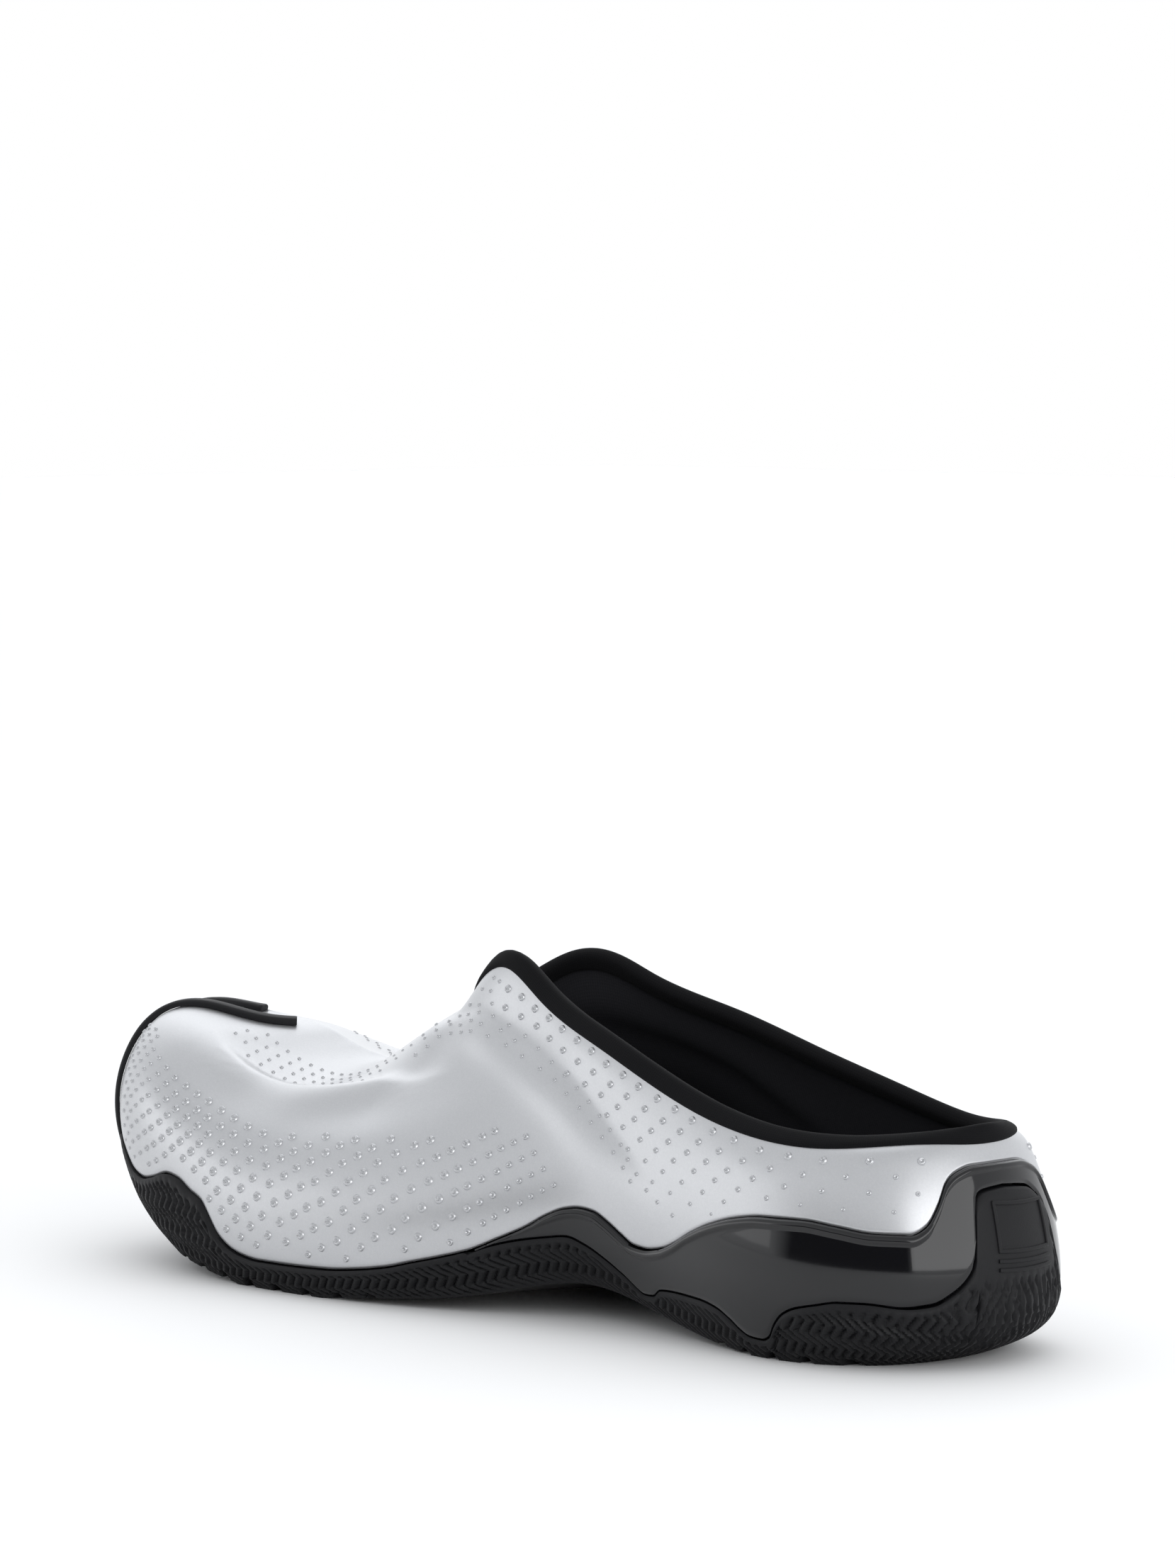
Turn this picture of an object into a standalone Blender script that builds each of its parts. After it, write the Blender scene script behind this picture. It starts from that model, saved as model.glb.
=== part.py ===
"""Slip-on moulded shoe, size EU 44, right foot. Millimetres from the heel back, +X to the toe, +Y to the medial side.

Every piece follows one outer skin. The skin is a ring of columns: each runs from the sole's bottom edge, up the
side, to the collar rim or, in front of the throat, to the ridge along the top of the foot.
"""
import bmesh
import bpy
import numpy as np
from mathutils import Vector
from mathutils.bvhtree import BVHTree

for old in list(bpy.data.objects):
    bpy.data.objects.remove(old, do_unlink=True)

MM = 0.001
LENGTH = 303.5
BALL_WIDTH = 116.0
EAR_HEIGHT = 89.6
GAP = 0.3
UPPER_WALL = 2.6
SHELF_ROOM = 1.1
PROUD_RUBBER = 1.0
PROUD_GLOSS = 0.6
BINDING_HEIGHT = 5.6
BINDING_LEAF = 1.4
RIB_HEIGHT = 2.0
RIB_WIDTH = 5.0
INSOLE_THICK = 4.0
TREAD_WIDTH = 2.6
TREAD_DEPTH = 2.0
TREAD_KEEL = -2.0
# Tread: first groove's x, pitch, grooves, how far forward their ends lie
TREAD = ((24, 9.5, 5, 9), (166, 10.5, 10, 14))

# Stations of the collar's throat and of the gloss frame's front end, and rows up the shell
THROAT = 8
MIDSOLE_END = 5.9
SHELL_ROWS = 7

# The tables below are the pattern of a shoe of this length, ball width and ear height, graded to the sizes above.
PATTERN = (303.5, 116.0, 89.6)
GRADE = np.array([LENGTH, BALL_WIDTH, EAR_HEIGHT]) / PATTERN
IN_PLAN = (GRADE[0] * GRADE[1]) ** 0.5
SHELF = UPPER_WALL + SHELF_ROOM

# Plan of each station: spine x, y | medial outline x, y | lateral outline x, y
PLAN = np.array([
    (38, 0, -1.5, 0, -1.5, 0),
    (41, 0, 9.3, 27, 9.3, -28),
    (47, 0, 36, 38.5, 36, -40),
    (66, -1, 64, 38.5, 64, -43),
    (90, -3, 92, 35, 92, -46),
    (116, -4, 119, 36.5, 119, -50),
    (142, -4, 146, 44.5, 146, -55),
    (166, -3, 173, 51.5, 173, -58.5),
    (184, -2, 198, 55, 198, -59.5),
    (202, -1, 222, 56.5, 222, -58.5),
    (218, 0, 246, 55, 246, -54.5),
    (240, 1.5, 270, 50, 269, -45.5),
    (257, 3.5, 288.2, 38.6, 288, -30.5),
    (263, 4.5, 299.5, 21.5, 300, -12.5),
    (266, 5, 303.5, 3.5, 303.5, 3.5),
]) * np.tile(GRADE[:2], 3)

# Section of each station: inset from the outline (i) and height (z) of the bottom edge (0), the low side (1),
# the widest point (2), the upper side (3), the shoulder (4) and the surface above it (5).
SECTION_GRADE = np.where([c == "i" for c in "iziz" "z" "iziziz"], IN_PLAN, GRADE[2])
# i0, z0, i1, z1, z2, i3, z3, i4, z4, i5, z5
MEDIAL = np.array([
    (18.5, 0.0, 2.5, 8.5, 20, 3.0, 39, 6.5, 49, 9.0, 53.5),
    (15.0, 0.0, 2.5, 8.5, 21, 3.0, 40, 6.5, 49, 9.0, 53.0),
    (6.5, 0.0, 1.2, 9.0, 23, 2.5, 40, 5.0, 47.5, 8.0, 52.0),
    (6.0, 0.8, 1.2, 11, 25, 2.5, 42, 5.0, 50, 7.5, 54.5),
    (6.5, 5.2, 1.6, 15, 28, 2.0, 44, 4.5, 53.5, 6.5, 60),
    (6.5, 10.0, 2.0, 18, 30, 4.0, 48, 7.5, 60, 10.0, 67.5),
    (4.5, 5.0, 1.5, 12, 27, 9.0, 48, 17.0, 63, 21.5, 73),
    (3.0, 1.8, 1.0, 7.0, 22, 9.0, 42, 23.5, 58.5, 31.0, 74),
    (3.0, 0.0, 1.0, 5.0, 20, 7.0, 38, 26.0, 53.5, 41.0, 69.5),
    (4.0, 0.0, 1.2, 6.0, 21, 6.0, 37, 24.5, 50.0, 41.0, 58.0),
    (5.5, 2.8, 1.6, 10, 26, 4.5, 42, 23.0, 51.0, 40.0, 54.5),
    (11.5, 5.0, 3.2, 17, 34, 3.2, 50, 15.0, 60.5, 33.0, 61.5),
    (17.5, 7.5, 6.8, 19.0, 39, 3.2, 55, 12.0, 65.0, 28.0, 66.6),
    (18.5, 9.0, 7.0, 20.5, 40, 3.4, 56, 12.0, 64.5, 27.0, 66.4),
    (19.0, 9.5, 7.0, 21.0, 40, 3.5, 55, 12.0, 63.3, 26.0, 65.8),
]) * SECTION_GRADE
LATERAL = np.array([
    (18.5, 0.0, 2.5, 8.5, 20, 3.0, 39, 6.5, 49, 9.0, 53.5),
    (15.0, 0.0, 2.5, 8.5, 20, 3.0, 39, 6.5, 49, 9.0, 53.0),
    (7.5, 0.0, 1.2, 8.5, 21, 3.0, 40, 6.0, 48.0, 8.5, 52.0),
    (7.0, 0.0, 1.2, 8.5, 22, 4.0, 42, 7.5, 51, 10.5, 56.5),
    (6.5, 0.8, 1.2, 9.0, 23, 5.5, 44, 10.0, 55, 13.5, 61.5),
    (6.0, 1.6, 1.2, 9.0, 23, 8.5, 47, 15.0, 61, 20.0, 69),
    (5.0, 0.8, 1.0, 8.0, 22, 12.0, 48, 22.5, 63, 29.0, 73.5),
    (4.0, 0.0, 1.0, 6.0, 21, 11.0, 42, 27.0, 58.5, 37.0, 74),
    (4.0, 0.0, 1.0, 5.5, 20, 8.0, 38, 29.0, 53.5, 43.0, 67.5),
    (4.5, 0.0, 1.2, 6.5, 21, 6.5, 36, 25.0, 48.5, 42.0, 52.0),
    (6.0, 2.8, 1.8, 10, 25, 4.5, 38, 20.0, 47.5, 38.0, 51.0),
    (11.0, 5.0, 3.4, 15, 30, 3.4, 42, 14.0, 51.5, 31.0, 57.5),
    (17.0, 7.5, 6.5, 18.5, 34, 3.4, 48, 13.0, 58.0, 28.0, 62.0),
    (18.5, 9.0, 7.0, 20.5, 38, 3.5, 53, 13.0, 61.5, 27.0, 64.5),
    (19.0, 9.5, 7.0, 21.0, 40, 3.5, 55, 12.0, 63.3, 26.0, 65.8),
]) * SECTION_GRADE

# Collar rim of each station up to the throat: medial x, y, z | lateral x, y, z
RIM = np.array([
    (9.5, 0, 57.6, 9.5, 0, 57.6),
    (18.0, 15.5, 56.3, 18.0, -17, 56.3),
    (38.0, 27.0, 55.2, 38.0, -28, 54.8),
    (64.0, 28.6, 57.8, 64.0, -29.5, 60.0),
    (90.0, 26.8, 64.6, 90.0, -28.2, 66.9),
    (116, 23.6, 73.5, 116, -25.0, 74.8),
    (140, 19.8, 82.4, 142, -20.5, 82.4),
    (162, 14.5, 89.6, 166, -14.0, 87.0),
    (183, -2.0, 75.5, 183, -2.0, 75.5),
]) * np.tile(GRADE, 2)

# Height of the ridge along the top, from the throat's station to the toe's
RIDGE = np.array([75.5, 67.0, 57.2, 61.3, 64.2, 65.2, 65.6]) * GRADE[2]

# Each station's middle of the sole: height of the bottom, of the rubber's inner face, and of the footbed
MIDDLE = np.array([
    # bottom, rubber, bed
    (0.0, 9.0, 22.0),
    (0.0, 9.0, 22.0),
    (0.0, 9.0, 22.0),
    (0.0, 9.0, 22.0),
    (2.5, 9.0, 21.5),
    (5.0, 11.0, 20.0),
    (2.5, 8.5, 16.8),
    (0.8, 7.5, 13.0),
    (0.0, 7.0, 11.5),
    (0.0, 7.0, 11.5),
    (0.8, 7.0, 12.0),
    (2.2, 8.0, 14.0),
    (4.6, 10.0, 17.0),
    (5.6, 11.0, 18.5),
    (6.2, 11.0, 19.0),
]) * GRADE[2]

# Where the silver shell ends above the black: station, height
SHELL_EDGE = np.array([
    (0.00, 49.6), (0.31, 49.4), (0.51, 48.0), (0.63, 45.6), (0.72, 40.6), (0.84, 35.6), (0.98, 33.8),
    (1.30, 33.9), (1.62, 35.0), (1.95, 35.9), (2.42, 35.5), (2.74, 34.2), (3.07, 31.6), (3.34, 28.4),
    (3.56, 25.1), (3.74, 23.2), (3.95, 22.3), (4.12, 22.7), (4.27, 24.7), (4.46, 27.7), (4.63, 29.8),
    (4.80, 30.3), (4.96, 29.7), (5.17, 27.4), (5.37, 24.2), (5.67, 20.4), (6.00, 16.5), (6.26, 14.5),
    (6.57, 12.4), (6.88, 10.3), (7.24, 8.9), (7.62, 8.0), (8.20, 7.7), (8.60, 7.7), (8.85, 8.4),
    (9.05, 9.8), (9.24, 12.8), (9.40, 17.6), (9.55, 21.4), (9.75, 23.4), (10.00, 26.2), (10.20, 26.9),
    (10.48, 25.1), (10.72, 24.1), (11.00, 25.0), (11.40, 29.0), (12.00, 34.0), (13.00, 37.5), (14.00, 38.5),
]) * (1, GRADE[2])
SHELL_EDGE_LATERAL = np.array([
    (0.00, 49.6), (0.31, 49.4), (0.51, 48.0), (0.63, 45.6), (0.72, 40.6), (0.84, 35.6), (0.98, 33.8),
    (1.30, 33.9), (1.62, 34.6), (1.95, 35.0), (2.42, 34.2), (2.74, 32.4), (3.07, 29.4), (3.56, 23.6),
    (3.95, 21.0), (4.30, 22.6), (4.75, 25.4), (5.05, 24.6), (5.45, 20.6), (6.00, 15.6), (6.57, 11.8),
    (7.24, 9.2), (7.80, 8.4), (8.60, 8.2), (9.05, 10.0), (9.40, 15.5), (9.75, 21.6), (10.20, 24.5),
    (10.72, 23.6), (11.40, 28.0), (12.00, 33.0), (13.00, 37.2), (14.00, 38.5),
]) * (1, GRADE[2])

# Where the gloss frame ends above the rubber: station, height
RUBBER_EDGE = np.array([
    (0.00, 43.9), (0.25, 43.2), (0.345, 41.8), (0.385, 38.0), (0.42, 27.0), (0.50, 22.4), (0.63, 19.2),
    (0.80, 16.7), (1.00, 16.1), (1.38, 17.0), (1.60, 16.9), (1.80, 15.8), (2.02, 14.2), (2.14, 12.4),
    (2.24, 9.4), (2.32, 6.2), (2.42, 5.0), (2.56, 5.2), (2.68, 6.6), (2.80, 9.0), (2.95, 11.1),
    (3.20, 12.4), (3.55, 12.7), (3.80, 12.3), (3.96, 10.2), (4.08, 10.0), (4.31, 14.2), (4.53, 18.0),
    (4.75, 21.0), (4.95, 22.6), (5.19, 21.8), (5.49, 20.3), (5.77, 18.2), (6.00, 15.6),
]) * (1, GRADE[2])
RUBBER_EDGE_LATERAL = np.array([
    (0.00, 43.9), (0.30, 43.1), (0.46, 40.6), (0.56, 36.6), (0.62, 27.0), (0.70, 21.6), (0.80, 17.8),
    (1.00, 16.2), (1.38, 16.8), (1.80, 15.2), (2.14, 11.6), (2.32, 6.8), (2.42, 5.8), (2.56, 6.0),
    (2.80, 9.0), (3.20, 11.2), (3.80, 10.4), (4.20, 9.6), (4.75, 14.6), (5.19, 16.6), (5.70, 16.0),
    (6.00, 14.6),
]) * (1, GRADE[2])

# Stations of the columns, on both sides
REAR = [0, 0.16, 0.28, 0.36, 0.42, 0.51, 0.63, 0.72, 0.84, 1.0, 1.3, 1.6, 1.9, 2.1, 2.22, 2.33,
        2.5, 2.65, 2.8, 3.0, 3.3, 3.6, 3.83, 4.0, 4.2, 4.45, 4.7, 4.95, 5.2, 5.5, 5.75, MIDSOLE_END]
FRONT = [MIDSOLE_END + 0.04, 6.25, 6.6, 6.9, 7.15, 7.36, 7.58, 7.8, THROAT, 8.35, 8.7, 9.0, 9.22, 9.38,
         9.55, 9.8, 10.1, 10.4, 10.7, 11.05, 11.45, 11.85, 12.25, 12.7, 13.15, 13.6, 14.0]
STATIONS = np.array(REAR + FRONT)

# Toe ribs as (station, share of the section from the bottom edge to the top), from the sole up to the square end
RIBS = {
    "toe_rib_1": ((11.96, 0.325), (11.98, 0.43), (12.14, 0.54), (12.34, 0.64), (12.26, 0.72), (11.92, 0.78),
                  (11.62, 0.82), (11.38, 0.86), (11.22, 0.89)),
    "toe_rib_2": ((12.80, 0.36), (12.84, 0.45), (13.10, 0.56), (13.44, 0.68), (13.46, 0.78), (13.24, 0.87),
                  (12.90, 0.94)),
}


def slopes_of(knots, values, period):
    n = len(knots)
    a, b = np.zeros((n, n)), np.zeros((n, values.shape[1]))
    if period is None:
        h = np.diff(knots)
        d = np.diff(values, axis=0) / h[:, None]
        a[0, :2], b[0] = (2, 1), 3 * d[0]
        a[-1, -2:], b[-1] = (1, 2), 3 * d[-1]
        inner = range(1, n - 1)
    else:
        h = np.diff(np.append(knots, knots[0] + period))
        d = (np.roll(values, -1, 0) - values) / h[:, None]
        inner = range(n)
    for i in inner:
        before, after = (i - 1) % n, (i + 1) % n
        a[i, before] += h[i]
        a[i, i] += 2 * (h[before] + h[i])
        a[i, after] += h[before]
        b[i] = 3 * (h[i] * d[before] + h[before] * d[i])
    return np.linalg.solve(a, b)


def hermite(knots, values, slopes, at):
    i = np.clip(np.searchsorted(knots, at, side="right") - 1, 0, len(knots) - 2)
    h = (knots[i + 1] - knots[i])[:, None]
    t = (at - knots[i])[:, None] / h
    return (values[i] * (1 + 2 * t) * (1 - t) ** 2 + slopes[i] * h * t * (1 - t) ** 2
            + values[i + 1] * t * t * (3 - 2 * t) - slopes[i + 1] * h * t * t * (1 - t))


def spline(knots, values, at, period=None):
    """The smooth curve through the values, closed when it has a period."""
    values, at = np.asarray(values, float), np.asarray(at, float)
    knots = np.asarray(knots, float)
    slopes = slopes_of(knots, values, period)
    if period is not None:
        at = np.mod(at, period)
        knots = np.append(knots, period)
        values, slopes = np.vstack([values, values[:1]]), np.vstack([slopes, slopes[:1]])
    return hermite(knots, values, slopes, at)


def eased(knots, values, at):
    """A curve through the values that never goes past them."""
    knots, values, at = np.asarray(knots, float), np.asarray(values, float), np.asarray(at, float)
    h = np.diff(knots)
    d = np.diff(values) / h
    m = np.concatenate([d[:1], np.zeros(len(d) - 1), d[-1:]])
    for i in range(1, len(d)):
        if d[i - 1] * d[i] > 0:
            w1, w2 = 2 * h[i] + h[i - 1], h[i] + 2 * h[i - 1]
            m[i] = (w1 + w2) / (w1 / d[i - 1] + w2 / d[i])
    return hermite(knots, values[:, None], m[:, None], at)[:, 0]


def round_the_ring(medial, lateral, u, side):
    """Values at stations u of one side, smooth round the whole ring. The first columns are plan x and y."""
    last = len(medial) - 1
    ring = np.vstack([medial, lateral[-2:0:-1]])
    closed = np.vstack([ring, ring[:1]])
    t = np.concatenate([[0], np.cumsum(np.linalg.norm(np.diff(closed[:, :2], axis=0), axis=1))])
    rows = t[:last + 1] if side > 0 else np.concatenate([[t[-1]], t[-2:last - 1:-1]])
    at = np.interp(u, np.arange(last + 1), rows)
    return spline(t[:-1], ring, at, t[-1])


def columns(u, side):
    """For stations u: the sections' control points, the way inward in plan, and the spine points."""
    u = np.asarray(u, float)
    both = [np.hstack([PLAN[:, k:k + 2], table]) for k, table in ((2, MEDIAL), (4, LATERAL))]
    row = round_the_ring(both[0], both[1], u, side)
    outline, sec = row[:, :2], row[:, 2:]
    index = np.arange(len(PLAN))
    spine = np.stack([eased(index, PLAN[:, k], u) for k in (0, 1)], 1)
    way = spine - outline
    way /= np.linalg.norm(way, axis=1, keepdims=True)
    i0, z0, i1, z1, z2, i3, z3, i4, z4, i5, z5 = sec.T
    z0 = np.where(z0 < 0.35, 0.0, z0)
    top = np.empty((len(u), 3))
    collar = u <= THROAT
    if collar.any():
        top[collar] = round_the_ring(RIM[:, :3], RIM[:, 3:], u[collar], side)
    if (~collar).any():
        z = spline(np.arange(len(RIDGE)), RIDGE[:, None], u[~collar] - THROAT)
        top[~collar] = np.hstack([spine[~collar], z])
    pairs = ((i0, z0), (i1, z1), (0 * z2, z2), (i3, z3), (i4, z4), (i5, z5))
    ctrl = [np.column_stack([outline + way * np.reshape(i, (-1, 1)), z]) for i, z in pairs]
    return np.stack(ctrl + [top], 1), way, spine


def section(ctrl, over_top, v):
    """Points of one section at shares v, 0 at the bottom edge and 1 at the top."""
    if over_top:
        mirror = ctrl[5:3:-1].copy()
        mirror[:, :2] = 2 * ctrl[6, :2] - mirror[:, :2]
        ctrl = np.vstack([ctrl, mirror])
    t = np.concatenate([[0], np.cumsum(np.linalg.norm(np.diff(ctrl, axis=0), axis=1) ** 0.8)])
    return spline(t, ctrl, np.asarray(v, float) * t[6])


FINE = np.linspace(0, 1, 241)


class Side:
    """The skin of one side at a list of stations."""

    def __init__(self, u, side):
        self.u, self.side = np.asarray(u, float), side
        self.ctrl, self.way, self.spine = columns(self.u, side)
        self.fine = [section(c, ui >= THROAT, FINE) for c, ui in zip(self.ctrl, self.u)]
        edge, rubber = ((SHELL_EDGE, RUBBER_EDGE), (SHELL_EDGE_LATERAL, RUBBER_EDGE_LATERAL))[side < 0]
        self.shell_z = eased(edge[:, 0], edge[:, 1], self.u)
        self.rubber_z = np.where(self.u < 6, eased(rubber[:, 0], rubber[:, 1], np.minimum(self.u, 6)), self.shell_z)
        self.rubber_z = np.minimum(self.rubber_z, self.shell_z)
        middle = [eased(np.arange(len(MIDDLE)), MIDDLE[:, k], self.u) for k in range(3)]
        self.bottom, self.rubber_in, self.bed = middle

    def share_at(self, k, z):
        """Share of section k where it first reaches height z."""
        heights = self.fine[k][:, 2]
        j = int(np.argmax(heights >= z))
        if j == 0:
            return 0.0
        return FINE[j - 1] + (FINE[j] - FINE[j - 1]) * (z - heights[j - 1]) / (heights[j] - heights[j - 1])

    def point(self, k, share, inward=0.0):
        p = np.array([np.interp(share, FINE, self.fine[k][:, c]) for c in range(3)])
        p[:2] += self.way[k] * inward
        return p

    def at(self, k, z, inward=0.0):
        """Skin point of section k at height z, moved inward in plan."""
        return self.point(k, self.share_at(k, z), inward)

    def inset(self, k, z):
        """How far section k's skin stands inward from the outline at height z."""
        return float(np.linalg.norm((self.at(k, z) - self.ctrl[k, 2])[:2]))

    def ledge_inset(self, k, top):
        """Inset of the rubber wall's inner foot."""
        return max(4.2, self.inset(k, top) + SHELF + 0.3)

    def inside(self, k, z, inward):
        """Point at height z, inward from the outline."""
        p = self.ctrl[k, 2, :2] + self.way[k] * inward
        return np.array([p[0], p[1], z])

    def middle(self, k, z):
        return np.array([self.spine[k, 0], self.spine[k, 1], z])


def ring_of(u, profile):
    """Profiles round the ring: medial stations forward, then lateral ones back."""
    medial, lateral = Side(u, 1), Side(u, -1)
    rows = [profile(medial, k) for k in range(len(u))]
    rows += [profile(lateral, k) for k in range(len(u) - 2, 0, -1)]
    return np.array(rows)


def arc_of(u, profile):
    """Profiles from the last lateral station back round the heel to the last medial one."""
    medial, lateral = Side(u, 1), Side(u, -1)
    rows = [profile(lateral, k) for k in range(len(u) - 1, 0, -1)]
    rows += [profile(medial, k) for k in range(len(u))]
    return np.array(rows)


def loft_faces(count, rows, closed, loop):
    faces = []
    for i in range(count if closed else count - 1):
        for j in range(rows if loop else rows - 1):
            a, b = i, (i + 1) % count
            c, d = j, (j + 1) % rows
            faces.append((a * rows + c, b * rows + c, b * rows + d, a * rows + d))
    return faces


MATERIALS = {}


def material(name, colour, roughness, metallic=0.0):
    if name not in MATERIALS:
        m = bpy.data.materials.new(name)
        m.use_nodes = True
        shader = m.node_tree.nodes["Principled BSDF"]
        shader.inputs["Base Color"].default_value = (*colour, 1)
        shader.inputs["Roughness"].default_value = roughness
        shader.inputs["Metallic"].default_value = metallic
        MATERIALS[name] = m
    return MATERIALS[name]


def solid(name, points, faces, mat, weld=0.004):
    mesh = bpy.data.meshes.new(name)
    mesh.from_pydata([tuple(Vector(p) * MM) for p in points], [], faces)
    bm = bmesh.new()
    bm.from_mesh(mesh)
    bmesh.ops.remove_doubles(bm, verts=bm.verts, dist=weld * MM)
    bmesh.ops.recalc_face_normals(bm, faces=bm.faces)
    bm.to_mesh(mesh)
    bm.free()
    mesh.materials.append(mat)
    obj = bpy.data.objects.new(name, mesh)
    bpy.context.scene.collection.objects.link(obj)
    return obj


def keep_largest(mesh):
    """Drops the chips that a cut leaves loose."""
    bm = bmesh.new()
    bm.from_mesh(mesh)
    left, islands = set(bm.verts), []
    while left:
        island, todo = set(), [left.pop()]
        while todo:
            v = todo.pop()
            island.add(v)
            for e in v.link_edges:
                other = e.other_vert(v)
                if other in left:
                    left.remove(other)
                    todo.append(other)
        islands.append(island)
    islands.sort(key=len)
    for island in islands[:-1]:
        bmesh.ops.delete(bm, geom=list(island), context="VERTS")
    bm.to_mesh(mesh)
    bm.free()


def cut(obj, cutter):
    """Takes the cutter's shape out of the object, and removes the cutter."""
    modifier = obj.modifiers.new("cut", "BOOLEAN")
    modifier.operation, modifier.solver, modifier.object = "DIFFERENCE", "EXACT", cutter
    graph = bpy.context.evaluated_depsgraph_get()
    mesh = bpy.data.meshes.new_from_object(obj.evaluated_get(graph))
    obj.modifiers.clear()
    obj.data = mesh
    bpy.data.objects.remove(cutter, do_unlink=True)
    keep_largest(mesh)


def halved(faces):
    """Quads as pairs of triangles."""
    return [f[:3] for f in faces] + [(f[0], f[2], f[3]) for f in faces if len(f) == 4]


def vertex_normals(points, faces):
    normals = np.zeros_like(points)
    for f in faces:
        corners = points[list(f)]
        n = np.cross(corners[1] - corners[0], corners[2] - corners[0])
        for i in f:
            normals[i] += n
    return normals / np.linalg.norm(normals, axis=1, keepdims=True)


RUBBER = material("black_rubber", (0.02, 0.02, 0.022), 0.6)
GLOSS = material("black_gloss", (0.025, 0.025, 0.028), 0.15)
SILVER = material("silver_shell", (0.6, 0.61, 0.63), 0.35, 0.3)
CLOTH = material("black_cloth", (0.02, 0.02, 0.023), 0.8)

def shell_profile(side, k):
    start = side.share_at(k, side.shell_z[k] + GAP / 2)
    return [side.point(k, s) for s in np.linspace(start, 1, SHELL_ROWS + 1)]


def shell_surface():
    """The shell's outer face: points, faces, and the indices of its lower edge and its rim."""
    grid = ring_of(STATIONS, shell_profile)
    count, rows = grid.shape[:2]
    points = grid.reshape(-1, 3)
    alias = np.arange(len(points))
    last = len(STATIONS) - 1
    for k in range(last):
        if STATIONS[k] >= THROAT:
            alias[(count - k) * rows + rows - 1] = k * rows + rows - 1
    faces = [tuple(alias[i] for i in f) for f in loft_faces(count, rows, True, False)]
    lower = [i * rows for i in range(count)]
    throat = int(np.flatnonzero(STATIONS == THROAT)[0])
    rim = [k * rows + rows - 1 for k in range(throat + 1)]
    rim += [(count - k) * rows + rows - 1 for k in range(throat - 1, 0, -1)]
    used = sorted({i for f in faces for i in f})
    place = {old: new for new, old in enumerate(used)}
    faces = [tuple(dict.fromkeys(place[i] for i in f)) for f in faces]
    return points[used], faces, [place[i] for i in lower], [place[i] for i in rim]


outer, shell_faces, shell_low, shell_rim = shell_surface()
shell_faces = halved(shell_faces)
normals = vertex_normals(outer, shell_faces)
centre = np.array([150.0, 0, 30])
if ((outer - centre) * normals).sum() < 0:
    normals = -normals
normals[shell_low, 2] = 0
normals /= np.linalg.norm(normals, axis=1, keepdims=True)
inner = outer - normals * UPPER_WALL
# The wall's foot keeps to its column's way inward, as the shelf below it does.
ways = np.array(ring_of(STATIONS, lambda side, k: [side.way[k]]))[:, 0]
square_on = np.clip(-(ways * normals[shell_low, :2]).sum(1), 0.6, 1.0)
inner[shell_low] = outer[shell_low]
inner[shell_low, :2] += ways * (UPPER_WALL / square_on)[:, None]
n = len(outer)
shell_solid_faces = list(shell_faces) + [tuple(i + n for i in f[::-1]) for f in shell_faces]
for edge in (shell_low, shell_rim):
    for a, b in zip(edge, edge[1:] + edge[:1]):
        shell_solid_faces.append((a, b, b + n, a + n))
upper = solid("upper", np.vstack([outer, inner]), shell_solid_faces, SILVER)


def outsole_profile(side, k):
    top = side.rubber_z[k] - GAP / 2
    ledge = min(top, 14.0)
    proud = (0.0, 0.65, 1.0, 1.0)
    rear = side.u[k] < MIDSOLE_END + 0.02
    bottom = side.ctrl[k, 0]
    middle = side.middle(k, side.bottom[k])
    half = (bottom + middle) / 2
    half[2] = bottom[2] * 0.6 + middle[2] * 0.4
    points = [middle, half]
    for s, p in zip(np.linspace(0, side.share_at(k, top), len(proud)), proud):
        points.append(side.point(k, s, -PROUD_RUBBER * p))
    if rear:
        points += [side.at(k, top, SHELF - 0.5), side.inside(k, ledge - 0.05, side.ledge_inset(k, top)),
                   side.inside(k, (ledge + side.rubber_in[k]) / 2, 14.0), side.middle(k, side.rubber_in[k])]
    else:
        wall = side.at(k, top, SHELF)
        bed = side.inside(k, side.bed[k], 0)
        deep = max(np.linalg.norm((wall - bed)[:2]) + 0.4, 4.4)
        points += [wall, side.inside(k, side.bed[k], deep), side.inside(k, side.bed[k], 18.0),
                   side.middle(k, side.bed[k])]
    return points


def ring_solid(name, u, profile, mat):
    """A solid whose profiles all start and end on the spine."""
    grid = ring_of(u, profile)
    count, rows = grid.shape[:2]
    return solid(name, grid.reshape(-1, 3), loft_faces(count, rows, True, False), mat)


outsole = ring_solid("outsole", STATIONS, outsole_profile, RUBBER)


def tread_cutter():
    """The grooves between the sole's main lugs, as chevrons across the heel and the forefoot."""
    points, faces = [], []
    station_x = np.array([row[0] for row in PLAN])
    for first, pitch, number, lean in TREAD:
        for g in range(number):
            x = (first + pitch * g) * GRADE[0]
            z = float(np.interp(x + 0.35 * lean, station_x, MIDDLE[:, 0]))
            base = len(points)
            for y, dx in ((-70, lean), (TREAD_KEEL, 0), (70, lean)):
                for side_x in (-TREAD_WIDTH / 2, TREAD_WIDTH / 2):
                    for height in (-4, z + TREAD_DEPTH):
                        points.append((x + dx + side_x, y, height))
            for i in (0, 4):
                a = base + i
                faces += [(a, a + 4, a + 5, a + 1), (a + 2, a + 3, a + 7, a + 6),
                          (a, a + 2, a + 6, a + 4), (a + 1, a + 5, a + 7, a + 3)]
            faces += [(base, base + 1, base + 3, base + 2), (base + 8, base + 10, base + 11, base + 9)]
    return solid("tread_cutter", points, faces, RUBBER)


cut(outsole, tread_cutter())


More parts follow.
